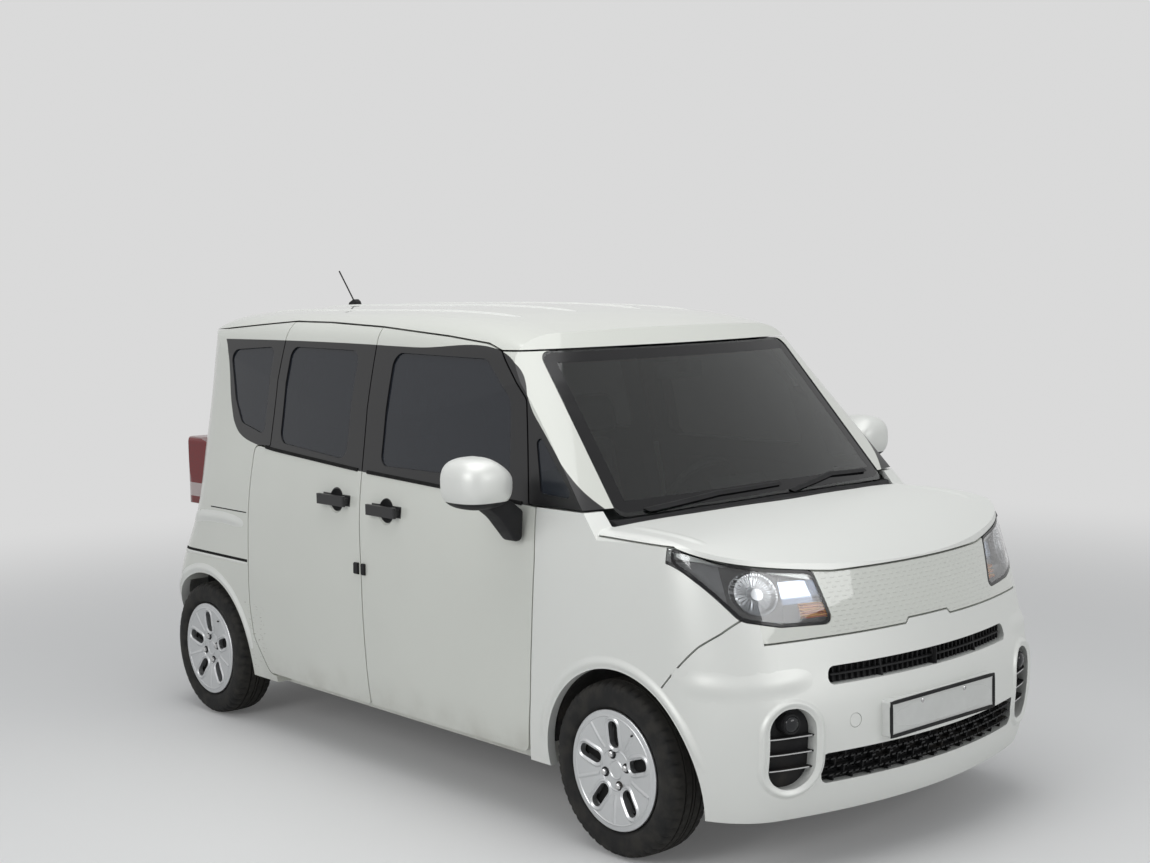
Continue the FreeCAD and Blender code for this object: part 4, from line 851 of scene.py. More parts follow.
def circle(u: float, v: float, radius: float, count: int, start: float = 0.0, turn: float = 360.0) -> Line:
    """Points on a circle or an arc of it.

    Args:
        u: First value of its middle.
        v: Second value of its middle.
        radius: Its radius.
        count: Number of points.
        start: Turn of the first point, in degrees.
        turn: Length of the arc, in degrees.

    Returns:
        The points.
    """
    steps = count if turn >= 360.0 else count - 1
    angles = [math.radians(start + turn * index / steps) for index in range(count)]
    return [(u + radius * math.cos(angle), v + radius * math.sin(angle)) for angle in angles]


def obround(u: float, v: float, half_width: float, half_height: float, count: int,
            turn: float = 0.0) -> Line:
    """Points of an upright slot with round ends, turned by an angle in degrees about its middle.

    Args:
        u: First value of its middle.
        v: Second value of its middle.
        half_width: Half its width.
        half_height: Half its height.
        count: Number of steps round each end.
        turn: The angle.

    Returns:
        The points.
    """
    reach = half_height - half_width
    points = [(half_width * math.cos(a), reach + half_width * math.sin(a))
              for a in (math.pi * i / count for i in range(count + 1))]
    points += [(-x, -y) for x, y in points]
    cosine, sine = math.cos(math.radians(turn)), math.sin(math.radians(turn))
    return [(u + x * cosine - y * sine, v + x * sine + y * cosine) for x, y in points]


def rounded(points: Line, rounds: int = 3, closed: bool = False) -> Line:
    """Cut the corners of a line a few times, so that it runs smoothly.

    Args:
        points: The line.
        rounds: How many times.
        closed: Whether its last point joins the first.

    Returns:
        The smoother line.
    """
    for _ in range(rounds):
        ends = points[1:] + points[:1] if closed else points[1:]
        cut = [(p[0] + (q[0] - p[0]) * s, p[1] + (q[1] - p[1]) * s) for p, q in zip(points, ends)
               for s in (0.25, 0.75)]
        points = cut if closed else [points[0], *cut[1:-1], points[-1]]
    return points


def spaced(points: Line, step: float, closed: bool = False) -> Line:
    """Add points to a line so that no run is longer than step.

    Args:
        points: The line.
        step: The longest run.
        closed: Whether its last point joins the first.

    Returns:
        The line with more points.
    """
    result: Line = []
    ends = points[1:] + points[:1] if closed else points[1:]
    for first, last in zip(points, ends):
        count = max(1, math.ceil(math.dist(first, last) / step))
        result += [(first[0] + (last[0] - first[0]) * i / count, first[1] + (last[1] - first[1]) * i / count)
                   for i in range(count)]
    return result if closed else result + [points[-1]]


def strip_profile(width: float, height: float) -> Line:
    """A flat strip with softened edges, as offsets across it and heights above the surface.

    Args:
        width: Its width.
        height: How far it stands out.

    Returns:
        The profile.
    """
    half, soft = width / 2, min(height, width / 2) * 0.4
    return [(-half, -FOOT), (-half, height - soft), (-half + soft, height), (half - soft, height),
            (half, height - soft), (half, -FOOT)]


def bead_profile(width: float, height: float, count: int = 10) -> Line:
    """A ridge that runs out smoothly into the surface on both sides.

    Args:
        width: Its width.
        height: Height of its crest.
        count: Number of steps across it.

    Returns:
        The profile.
    """
    crest = [(width * (i / count - 0.5), height * (0.5 - 0.5 * math.cos(math.tau * i / count)))
             for i in range(count + 1)]
    return [(-width / 2, -FOOT), *[(u, h - 0.0002) for u, h in crest], (width / 2, -FOOT)]


def sweep(stations: list[tuple[Vector, Vector]], profile: Line, closed: bool = False,
          fade: float = 0.0) -> Form:
    """Lay a closed profile along places with normals.

    Args:
        stations: Places on the surface with the direction out of it.
        profile: Offsets across the line and heights above the surface.
        closed: Whether the last place joins the first.
        fade: Length over which the height runs out at both ends.

    Returns:
        A closed band.
    """
    form = bmesh.new()
    rows = stations + stations[:1] if closed else stations
    bmesh.ops.create_grid(form, x_segments=len(profile), y_segments=len(rows) - 1, size=1.0)
    form.verts.ensure_lookup_table()
    ring = profile + profile[:1]
    runs = [0.0]
    for first, last in zip(rows, rows[1:]):
        runs.append(runs[-1] + (last[0] - first[0]).length)
    for row, (place, normal) in enumerate(rows):
        near = min(1.0, min(runs[row], runs[-1] - runs[row]) / fade) if fade else 1.0
        rise = near * near * (3.0 - 2.0 * near)
        before = stations[row - 1][0] if closed or row else place
        after = rows[min(row + 1, len(rows) - 1)][0] if row < len(rows) - 1 else (
            stations[1][0] if closed else place)
        if closed and row == len(rows) - 1:
            before = stations[-1][0]
        along = (after - before).normalized()
        across = normal.cross(along).normalized()
        out = along.cross(across).normalized()
        for column, (u, h) in enumerate(ring):
            level = h * rise - 0.0008 * (1.0 - rise)
            form.verts[row * len(ring) + column].co = place + across * u + out * level
    bmesh.ops.remove_doubles(form, verts=form.verts, dist=MERGE)
    if not closed:
        bmesh.ops.holes_fill(form, edges=[edge for edge in form.edges if edge.is_boundary])
    bmesh.ops.recalc_face_normals(form, faces=form.faces)
    return form


def laid(skin: Skin, view: View, line: Line, profile: Line, closed: bool = False,
         step: float = 0.02, fade: float = 0.0) -> Form:
    """Lay a profile on a surface along a line that is drawn in one view.

    Args:
        skin: The surface.
        view: The view.
        line: The line.
        profile: The profile.
        closed: Whether the line's last point joins the first.
        step: The longest run between two rays.
        fade: Length over which the height runs out at both ends.

    Returns:
        The laid band.
    """
    found = [skin.at(view, *point) for point in spaced(line, step, closed)]
    return sweep([station for station in found if station], profile, closed, fade)


def cornered(points: Line, reach: float) -> Line:
    """Round the corners of a closed line within a reach of each of them.

    Args:
        points: The line's corners.
        reach: How far from a corner its rounding starts.

    Returns:
        The rounded line.
    """
    result: Line = []
    for before, corner, after in zip(points[-1:] + points[:-1], points, points[1:] + points[:1]):
        for end in (before, after):
            share = reach / math.dist(corner, end)
            result.append(tuple(c + (d - c) * share for c, d in zip(corner, end)))
        result.insert(-1, corner)
    return rounded(result, 2, True)


def flipped(form: Form) -> Form:
    """Give the same shape for the other side of the car.

    Args:
        form: The shape, which stays.

    Returns:
        Its mirror image.
    """
    other = form.copy()
    bmesh.ops.scale(other, vec=(-1.0, 1.0, 1.0), verts=other.verts)
    bmesh.ops.reverse_faces(other, faces=other.faces)
    return other


def both(form: Form) -> Form:
    """Join a shape of the right side with its mirror image."""
    return joined(flipped(form), form)


def place_ridge(name: str, form: Form, body: str = "body") -> None:
    """Add a soft painted ridge that moves with a body."""
    place_piece(name, form, Finishes.PAINT, body, RIDGE_ANGLE)


def block(low: Point, high: Point, bevel: float = 0.004, segments: int = 2) -> Form:
    """A box between two corners with rounded edges.

    Args:
        low: The lowest corner.
        high: The highest corner.
        bevel: Reach of the rounding.
        segments: Number of its steps.

    Returns:
        The box.
    """
    form = bmesh.new()
    bmesh.ops.create_cube(form, size=1.0)
    bmesh.ops.scale(form, vec=tuple(b - a for a, b in zip(low, high)), verts=form.verts)
    bmesh.ops.translate(form, vec=tuple((a + b) / 2 for a, b in zip(low, high)), verts=form.verts)
    if bevel:
        bmesh.ops.bevel(form, geom=form.edges[:], offset=bevel, offset_type="OFFSET", segments=segments,
                        profile=0.5, affect="EDGES", material=-1, clamp_overlap=True)
    return form


def turned(profile: Line, centre: Point, axis: Point, steps: int = 48) -> Form:
    """Spin a profile of (radius, rise) points about an axis through a centre.

    Args:
        profile: Radius and rise of each point, from one end to the other.
        centre: Where the rise is nought.
        axis: The direction of the rise.
        steps: How many faces go round.

    Returns:
        The turned shape.
    """
    form = bmesh.new()
    verts = [form.verts.new((max(radius, 0.0), 0.0, rise)) for radius, rise in profile]
    edges = [form.edges.new(pair) for pair in zip(verts, verts[1:])]
    bmesh.ops.spin(form, geom=verts + edges, cent=(0, 0, 0), axis=(0, 0, 1), angle=math.tau, steps=steps,
                   use_merge=True)
    bmesh.ops.remove_doubles(form, verts=form.verts, dist=MERGE)
    bmesh.ops.recalc_face_normals(form, faces=form.faces)
    turn = Vector((0, 0, 1)).rotation_difference(Vector(axis)).to_matrix()
    bmesh.ops.rotate(form, cent=(0, 0, 0), matrix=turn, verts=form.verts)
    bmesh.ops.translate(form, vec=centre, verts=form.verts)
    return form


def joined(*forms: Form) -> Form:
    """Put several shapes into one, and free them.

    Args:
        forms: The shapes.

    Returns:
        The whole shape.
    """
    whole = bmesh.new()
    for form in forms:
        data = bpy.data.meshes.new("part")
        form.to_mesh(data)
        form.free()
        whole.from_mesh(data)
        bpy.data.meshes.remove(data)
    return whole


@dataclass
class Studio:
    """The floor, the soft light and the camera."""

    focal_px: float = 1688.26
    width_px: float = 1150.0
    eye: Point = (-4.1906, -4.9285, 1.7953)
    yaw: float = 40.975
    pitch: float = -5.2195
    roll: float = -1.3110
    backdrop: Colour = (0.70, 0.70, 0.70)
    floor_colour: Colour = (0.72, 0.72, 0.715)
    floor_glow: float = 0.07
    floor_fade: Pair = (2.2, 7.5)
    sky: Colour = (0.80, 0.83, 0.86)
    sky_strength: float = 0.40
    lamps: tuple[tuple[str, Point, Point, Pair, float], ...] = (
        ("overhead", (-0.5, -0.5, 5.0), (0.0, 0.0, 0.8), (4.0, 5.0), 110.0),
        ("side", (-6.0, -1.5, 3.4), (0.0, 0.2, 0.8), (3.0, 2.2), 85.0),
        ("front", (0.8, -7.0, 3.0), (0.0, -1.0, 0.7), (3.5, 2.0), 70.0))

    def camera(self) -> None:
        """Place the camera at the photograph's viewing angle."""
        yaw, pitch, roll = (math.radians(v) for v in (self.yaw, self.pitch, self.roll))
        ahead = Vector((math.sin(yaw) * math.cos(pitch), math.cos(yaw) * math.cos(pitch), math.sin(pitch)))
        right = ahead.cross(Vector((0, 0, 1))).normalized()
        up = right.cross(ahead)
        turned = right * math.cos(roll) + up * math.sin(roll)
        upright = up * math.cos(roll) - right * math.sin(roll)
        data = bpy.data.cameras.new("camera")
        data.sensor_width = 36.0
        data.lens = self.focal_px * data.sensor_width / self.width_px
        data.clip_start = 0.1
        data.clip_end = 100.0
        camera = bpy.data.objects.new("camera", data)
        bpy.context.scene.collection.objects.link(camera)
        basis = Matrix((turned, upright, -ahead)).transposed().to_4x4()
        camera.matrix_world = Matrix.Translation(self.eye) @ basis
        bpy.context.scene.camera = camera

    def lamp(self, name: str, place: Point, target: Point, size: Pair, power: float) -> None:
        """Hang a soft lamp that faces a point.

        Args:
            name: The lamp's name.
            place: Where it hangs.
            target: The point.
            size: Its two sides.
            power: Its power in watts.
        """
        data = bpy.data.lights.new(name, "AREA")
        data.shape = "RECTANGLE"
        data.size, data.size_y = size
        data.energy = power
        lamp = bpy.data.objects.new(name, data)
        bpy.context.scene.collection.objects.link(lamp)
        lamp.location = place
        lamp.rotation_euler = (Vector(target) - Vector(place)).to_track_quat("-Z", "Y").to_euler()

    def floor(self) -> None:
        """Lay the pale floor, which keeps the shadow near the car and runs out into the background."""
        material = bpy.data.materials.new("studio_floor")
        graph = Graph(material)
        distance = graph.node("ShaderNodeVectorMath", operation="LENGTH")
        graph.link(graph.place, distance.inputs[0])
        fade = graph.ramp(distance.outputs["Value"], *self.floor_fade)
        graph.set(Base_Color=self.floor_colour, Roughness=0.85, Emission_Color=(1.0, 1.0, 1.0))
        shown = self.shown(graph)
        graph.set(Emission_Strength=graph.times(shown, self.floor_glow))
        graph.show(graph.times(fade, shown), self.backdrop)
        form = bmesh.new()
        bmesh.ops.create_circle(form, cap_ends=True, segments=64, radius=40.0)
        add_mesh("studio_floor", form, material)

    def shown(self, graph: Graph) -> Socket:
        """Give 1 on the rays that show the background: from the camera, off gloss and through glass.

        Args:
            graph: The material's node tree.

        Returns:
            1 on those rays, and 0 on the others.
        """
        path = graph.node("ShaderNodeLightPath")
        gloss = graph.maths("MAXIMUM", path.outputs["Is Glossy Ray"], path.outputs["Is Transmission Ray"])
        return graph.maths("MAXIMUM", path.outputs["Is Camera Ray"], gloss)

    def world(self) -> None:
        """Light the room evenly and show it as a pale background."""
        world = bpy.data.worlds.new("studio")
        graph = Graph(world)
        graph.set(Color=self.sky, Strength=self.sky_strength)
        graph.show(self.shown(graph), self.backdrop)
        bpy.context.scene.world = world

    def build(self) -> None:
        """Set up the whole studio."""
        bpy.context.scene.view_settings.view_transform = "Standard"
        self.camera()
        self.floor()
        self.world()
        for lamp in self.lamps:
            self.lamp(*lamp)


SIDES: tuple[tuple[str, View, float], ...] = (("right", View.RIGHT, -1.0), ("left", View.LEFT, 1.0))


def height_on(line: Line, at: float) -> float:
    """Give a line's second value at a first value.

    Args:
        line: Points with rising first values.
        at: The first value.

    Returns:
        The second value.
    """
    for (start, low), (end, high) in zip(line, line[1:]):
        if start <= at <= end:
            return low + (high - low) * (at - start) / (end - start)
    return line[-1][1]


@dataclass
class SideTrim:
    """Belt mouldings, arch flares, the rail slot and the short seams of the body's sides."""

    moulding_width: float = 0.013
    moulding_height: float = 0.0035
    moulding_rise: float = 0.003
    front_run: Pair = (-0.715, 0.170)
    rear_run: Pair = (0.232, 0.962)
    flare_width: float = 0.040
    flare_height: float = 0.008
    shelf_line: tuple[Pair, ...] = ((1.015, 0.835), (1.20, 0.850), (1.40, 0.842), (1.52, 0.815))
    rail_run: Pair = (1.012, 1.548)
    rail_z: float = 0.690
    seam_z: float = 0.885
    stop_z: float = 0.754
    lid_line: tuple[Pair, ...] = ((1.085, 0.93), (1.085, 1.01), (1.235, 1.01), (1.235, 0.86), (1.085, 0.86))

    def mouldings(self, side: str, view: View) -> None:
        """Lay one side's belt mouldings.

        Args:
            side: Right or left.
            view: The view that shows the side.
        """
        front, rear = f"door_front_{side}", "sliding_door" if side == "right" else "door_rear_left"
        rear_body = "body" if side == "right" else rear
        profile = strip_profile(self.moulding_width, self.moulding_height)
        for place, node, body, (start, end) in (("front", front, front, self.front_run),
                                                ("rear", rear, rear_body, self.rear_run)):
            steps = [start + (end - start) * i / 24 for i in range(25)]
            line = [(y, height_on(BELT, y) + self.moulding_rise) for y in steps]
            form = laid(Skin((node,)), view, line, profile)
            place_piece(f"belt_moulding_{place}_{side}", form, Finishes.SEAL, body)

    def flares(self, side: str, view: View) -> None:
        """Lay the ridges round one side's wheel arches.

        Args:
            side: Right or left.
            view: The view that shows the side.
        """
        places = (("front", FRONT_ARCH, (f"fender_{side}", "front_bumper"), 4.0, 166.0),
                  ("rear", REAR_ARCH, (f"side_frame_{side}", "rear_bumper"), -4.0, 176.0))
        for name, y, nodes, start, turn in places:
            line = circle(y, ARCH_Z, ARCH_RADIUS + 0.5 * self.flare_width + 0.001, 48, start, turn)
            form = laid(Skin(nodes), view, line, bead_profile(self.flare_width, self.flare_height), fade=0.10)
            place_ridge(f"arch_flare_{name}_{side}", form)

    def shelf(self, side: str, view: View) -> None:
        """Lay the long soft step above the rear arch.

        Args:
            side: Right or left.
            view: The view that shows the side.
        """
        line = rounded(list(self.shelf_line))
        form = laid(Skin((f"side_frame_{side}",)), view, line, bead_profile(0.050, 0.006), fade=0.12)
        place_ridge(f"rear_shelf_{side}", form)

    def rail(self) -> None:
        """Lay the sliding door's rail slot, its lip, the short seam above it and the door stops."""
        skin = Skin(("side_frame_right",))
        start, end = self.rail_run
        line = [(start, self.rail_z), (end, self.rail_z)]
        slot = laid(skin, View.RIGHT, line, strip_profile(0.011, 0.0008))
        line = [(1.016, self.seam_z), (1.310, self.seam_z)]
        seam = laid(skin, View.RIGHT, line, strip_profile(0.0045, 0.0005))
        place_piece("rail_slot", joined(slot, seam), Finishes.SEAL, "body")
        line = [(start, self.rail_z - 0.012), (end, self.rail_z - 0.012)]
        place_ridge("rail_lip", laid(skin, View.RIGHT, line, bead_profile(0.012, 0.0035, 6)))
        for name, node, body, start, end in (("front", "door_front_right", "door_front_right", 0.158, 0.178),
                                             ("rear", "sliding_door", "body", 0.200, 0.226)):
            line = [(start, self.stop_z), (end, self.stop_z)]
            form = laid(Skin((node,)), View.RIGHT, line, strip_profile(0.042, 0.009), step=0.01)
            place_piece(f"door_stop_{name}", form, Finishes.MATT_BLACK, body)

    def fuel_lid(self) -> None:
        """Lay the seam of the fuel lid on the left flank."""
        line = rounded(list(self.lid_line), 3, True)
        form = laid(Skin(("side_frame_left",)), View.LEFT, line, strip_profile(0.0035, 0.0004), True, 0.01)
        place_piece("fuel_lid_seam", form, Finishes.SEAL, "body")

    def build(self) -> None:
        """Build the trim of both sides."""
        for side, view, _ in SIDES:
            self.mouldings(side, view)
            self.flares(side, view)
            self.shelf(side, view)
        self.rail()
        self.fuel_lid()


@dataclass
class RoofTrim:
    """The roof's long ribs, the bonnet's creases and the printed rims of the screens."""

    rib_places: tuple[float, ...] = (-0.42, -0.16, 0.16, 0.42)
    rib_run: Pair = (-0.34, 1.40)
    rib_width: float = 0.034
    rib_height: float = 0.004
    heater_lines: int = 9
    heater_z: float = 1.190
    heater_step: float = 0.033

    def ribs(self) -> None:
        """Lay the ribs pressed into the roof."""
        skin = Skin(("roof_panel",))
        profile = bead_profile(self.rib_width, self.rib_height)
        forms = [laid(skin, View.TOP, [(x, y) for y in self.rib_run], profile, step=0.03, fade=0.12)
                 for x in self.rib_places]
        place_ridge("roof_ribs", joined(*forms))

    def creases(self) -> None:
        """Lay the crease along each shoulder of the bonnet."""
        line = rounded([(-0.655, -1.47), (-0.668, -1.38), (-0.668, -1.22), (-0.650, -1.10)])
        form = laid(Skin(("hood",)), View.TOP, line, bead_profile(0.052, 0.0040), fade=0.09)
        place_ridge("bonnet_creases", both(form), "hood")

    def rims(self) -> None:
        """Lay the black printed rims of the windscreen and the tailgate glass."""
        front = [(-0.624, 1.070), (0.0, 1.082), (0.624, 1.070), (0.572, 1.530), (-0.572, 1.530)]
        rear = [(-0.478, 1.150), (0.478, 1.150), (0.438, 1.502), (-0.438, 1.502)]
        for node, view, corners, reach, body, width in (
                ("windscreen", View.FRONT, front, 0.045, "body", 0.044),
                ("tailgate_glass", View.REAR, rear, 0.060, "tailgate", 0.034)):
            line = cornered(corners, reach)
            form = laid(Skin((node,)), view, line, strip_profile(width, 0.0002), True, 0.015)
            place_piece(f"{node}_rim", form, Finishes.GLOSS_BLACK, body)

    def heater(self) -> None:
        """Lay the thin heating lines inside the tailgate glass."""
        skin = Skin(("tailgate_glass",))
        forms = []
        profile = strip_profile(0.0012, 0.0002)
        for row in range(self.heater_lines):
            z = self.heater_z + self.heater_step * row
            reach = 0.455 - 0.03 * row / self.heater_lines
            forms.append(laid(skin, View.REAR, [(-reach, z), (reach, z)], profile, step=0.08))
        place_piece("heating_lines", joined(*forms), Finishes.SEAL, "tailgate")

    def build(self) -> None:
        """Build the ribs, creases and rims."""
        self.ribs()
        self.creases()
        self.rims()
        self.heater()


@dataclass
class FrontEnd:
    """The bumper's flares and ledge, the grilles, the fog lamps and the towing eye's cap."""

    fog_x: float = 0.571
    fog_z: float = 0.410
    fog_half: Pair = (0.073, 0.121)
    slats: tuple[float, ...] = (-0.062, -0.014, 0.034)
    lamp_rise: float = 0.074
    tow_cap: Pair = (-0.362, 0.470)
    columns: int = 19
    louvre_step: float = 0.0225
    louvre_z: Pair = (0.5835, 0.6345)
    dash_step: Pair = (0.0235, 0.0127)
    dash_rows: int = 7

    def ledge(self) -> None:
        """Lay the step that runs from the upper slot round each corner of the bumper."""
        skin = Skin(("front_bumper",))
        front = spaced([(-0.465, 0.612), (-0.60, 0.606), (-0.69, 0.600)], 0.02)
        side = spaced([(-1.60, 0.598), (-1.48, 0.600), (-1.40, 0.604)], 0.02)
        found = [skin.at(View.FRONT, *p) for p in front] + [skin.at(View.RIGHT, *p) for p in side]
        form = sweep([s for s in found if s], bead_profile(0.090, 0.0065), fade=0.12)
        place_ridge("bumper_ledges", both(form))

    def fog_flares(self) -> None:
        """Lay the smooth raised rim round each fog lamp opening."""
        half_width, half_height = (value + 0.016 for value in self.fog_half)
        line = obround(-self.fog_x, self.fog_z, half_width, half_height, 20)
        form = laid(Skin(("front_bumper",)), View.FRONT, line, bead_profile(0.030, 0.009), True)
        place_ridge("fog_flares", both(form))

    def fog_details(self) -> None:
        """Add bright steel strips along the slats as painted highlights on their top edges, the dark lamp
        glasses and their rings.
        """
        skin = Skin(("fog_lamps",))
        edges = []
        for rise in self.slats:
            reach = 0.066 if abs(rise) < 0.05 else 0.062
            z = self.fog_z + rise
            edges.append(laid(skin, View.FRONT, [(-self.fog_x - reach, z), (-self.fog_x + reach, z)],
                              strip_profile(0.0038, 0.0012), step=0.01))
        place, _ = skin.at(View.FRONT, -self.fog_x, self.fog_z + self.lamp_rise)
        axis = (-0.25, -1.0, 0.0)
        dome = [(0.025, -0.002), (0.025, 0.001), (0.021, 0.007), (0.012, 0.011), (0.0, 0.012)]
        rim = [(0.024, -0.004), (0.024, 0.003), (0.0265, 0.004), (0.029, 0.002), (0.0295, -0.004),
               (0.024, -0.004)]
        glass, ring = turned(dome, place, axis), turned(rim, place, axis)
        # painted highlight: bright steel strips stand for the light that the black slats' top edges catch
        place_piece("fog_slat_painted_highlights", both(joined(*edges)), Finishes.STEEL, "body")
        place_piece("fog_glasses", both(glass), Finishes.SCREEN_GLASS, "body")
        place_piece("fog_rings", both(ring), Finishes.MATT_BLACK, "body")

    def grilles(self) -> None:
        """Fill the upper slot with upright louvres and the lower one with rows of dashes."""
        skin = Skin(("front_grilles",))
        louvres, dashes = [], []
        columns = range(-self.columns, self.columns + 1)
        foot, top = self.louvre_z
        for index in columns:
            found = skin.at(View.FRONT, index * self.louvre_step, 0.596)
            if found:
                x, y = found[0].x, found[0].y
                louvres.append(block((x - 0.0022, y - 0.012, foot), (x + 0.0022, y + 0.001, top), 0.0008, 1))
        place_piece("upper_louvres", joined(*louvres), Finishes.MATT_BLACK, "body")
        across, up = self.dash_step
        for row in range(self.dash_rows):
            z = 0.2985 + up * row
            for index in columns:
                found = skin.at(View.FRONT, (index + 0.5 * (row % 2)) * across, z)
                if found and abs(found[0].x) < 0.463:
                    x, y = found[0].x, found[0].y
                    low, high = (x - 0.0078, y - 0.006, z - 0.0024), (x + 0.0078, y + 0.001, z + 0.0024)
                    dashes.append(block(low, high, 0))
        place_piece("lower_dashes", joined(*dashes), Finishes.GLOSS_BLACK, "body")

    def cap(self) -> None:
        """Close the towing eye's hole with its round cap."""
        skin = Skin(("front_bumper",))
        x, z = self.tow_cap
        around = [skin.at(View.FRONT, x + 0.03 * math.cos(angle), z + 0.03 * math.sin(angle))
                  for angle in (0.0, math.pi / 2, math.pi, 4.71)]
        place = sum((s[0] for s in around if s), Vector()) / len(around)
        axis = sum((s[1] for s in around if s), Vector()).normalized()
        profile = [(0.0, -0.006), (0.0209, -0.006), (0.0209, -0.0012), (0.0200, -0.0002), (0.0, 0.0006)]
        form = turned(profile, place, axis)
        place_piece("tow_cap", form, Finishes.PAINT, "body")

    def build(self) -> None:
        """Build the front end."""
        self.ledge()
        self.fog_flares()
        self.fog_details()
        self.grilles()
        self.cap()


@dataclass
class Plates:
    """Black frames and screws of both blank plates."""

    half_width: float = 0.262
    half_height: float = 0.056
    rim_inset: Pair = (0.014, 0.012)
    bolt_x: float = 0.105
    bolt_rise: float = 0.034

    def frame(self, name: str, node: str, body: str, view: View, z: float, axis: Point) -> None:
        """Frame one plate and put its screws in.

        Args:
            name: Start of the pieces' names.
            node: The plate's node.
            body: The body that it rides on.
            view: The view that shows it.
            z: Height of its middle.
            axis: The direction out of it.
        """
        w, h = self.half_width - 0.005, self.half_height - 0.005
        line = [(-w, z - h), (w, z - h), (w, z + h), (-w, z + h)]
        skin = Skin((node,))
        form = laid(skin, view, line, strip_profile(0.011, 0.0045), True)
        place_piece(f"{name}_frame", form, Finishes.MATT_BLACK, body)
        u, v = w - self.rim_inset[0], h - self.rim_inset[1]
        ridge = [(-u, z - v), (u, z - v), (u, z + v), (-u, z + v)]
        form = laid(skin, view, rounded(ridge, 2, True), bead_profile(0.005, 0.0012, 6), True)
        place_piece(f"{name}_rim", form, Finishes.PLATE, body, RIDGE_ANGLE)
        head = [(0.0, -0.003), (0.0075, -0.003), (0.0075, 0.0012), (0.0055, 0.003), (0.0022, 0.0036),
                (0.0018, 0.002), (0.0, 0.002)]
        bolts = []
        for x in (-self.bolt_x, self.bolt_x):
            place, _ = skin.at(view, x + 0.009, z + self.bolt_rise)
            place.x = x
            bolts.append(turned(head, place, axis, 24))
        place_piece(f"{name}_screws", joined(*bolts), Finishes.STEEL, body)

    def build(self) -> None:
        """Frame both plates."""
        self.frame("front_plate", "front_plate", "body", View.FRONT, 0.458, (0.0, -1.0, 0.0))
        self.frame("rear_plate", "rear_plate", "tailgate", View.REAR, 0.912, (0.0, 1.0, 0.0))


@dataclass(frozen=True)
class Bar:
    """A level bar on the rear of the car, of one run or of several side by side.

    Attributes:
        middles: Places across the car of the middles of its runs.
        reach: Half the length of a run.
        rise: How far it stands out.
        fade: Length over which it runs out at both ends, for a soft ridge.
    """

    name: str
    node: str
    middles: tuple[float, ...]
    reach: float
    z: float
    width: float
    rise: float
    finish: Finishes
    slot: str
    fade: float = 0.0

    def build(self) -> None:
        """Lay the bar on its node."""
        skin = Skin((self.node,))
        profile = bead_profile(self.width, self.rise) if self.fade else strip_profile(self.width, self.rise)
        forms = []
        for x in self.middles:
            line = [(x - self.reach, self.z), (x + self.reach, self.z)]
            forms.append(laid(skin, View.REAR, line, profile, fade=self.fade))
        body = "tailgate" if self.node == "tailgate" else "body"
        angle = RIDGE_ANGLE if self.fade else SHARP_ANGLE
        place_piece(self.name, joined(*forms), self.finish, body, angle)


@dataclass
class RearEnd:
    """The tailgate's handle and lamps and the rear bumper's reflectors, valance, step and line."""

    handle_z: float = 1.012
    handle_drop: float = 0.0225

    def build(self) -> None:
        """Build the pieces of the rear end."""
        under = self.handle_z - self.handle_drop
        black, red = (Finishes.MATT_BLACK, "black_plastic"), (Finishes.REFLECTOR, "red_lens")
        paint = (Finishes.PAINT, "body_paint")
        for bar in (Bar("tailgate_handle", "tailgate", (0.0,), 0.285, self.handle_z, 0.042, 0.020, *paint),
                    Bar("handle_pad", "tailgate", (0.0,), 0.055, under, 0.010, 0.012, *black),
                    Bar("plate_lamps", "tailgate", (-0.15, 0.15), 0.03, under, 0.009, 0.010, Finishes.LENS,
                        "lamp_lens"),
                    Bar("high_stop_lamp", "tailgate", (0.0,), 0.14, 1.560, 0.022, 0.007, *red),
                    Bar("rear_reflectors", "rear_bumper", (-0.53, 0.53), 0.055, 0.365, 0.034, 0.004, *red),
                    Bar("rear_valance", "rear_bumper", (0.0,), 0.60, 0.232, 0.060, 0.003, *black),
                    Bar("rear_bumper_step", "rear_bumper", (0.0,), 0.58, 0.560, 0.05, 0.008, *paint, 0.08),
                    Bar("bumper_line", "rear_bumper", (0.0,), 0.60, 0.470, 0.003, 0.0004, Finishes.SEAL,
                        "black_plastic")):
            bar.build()


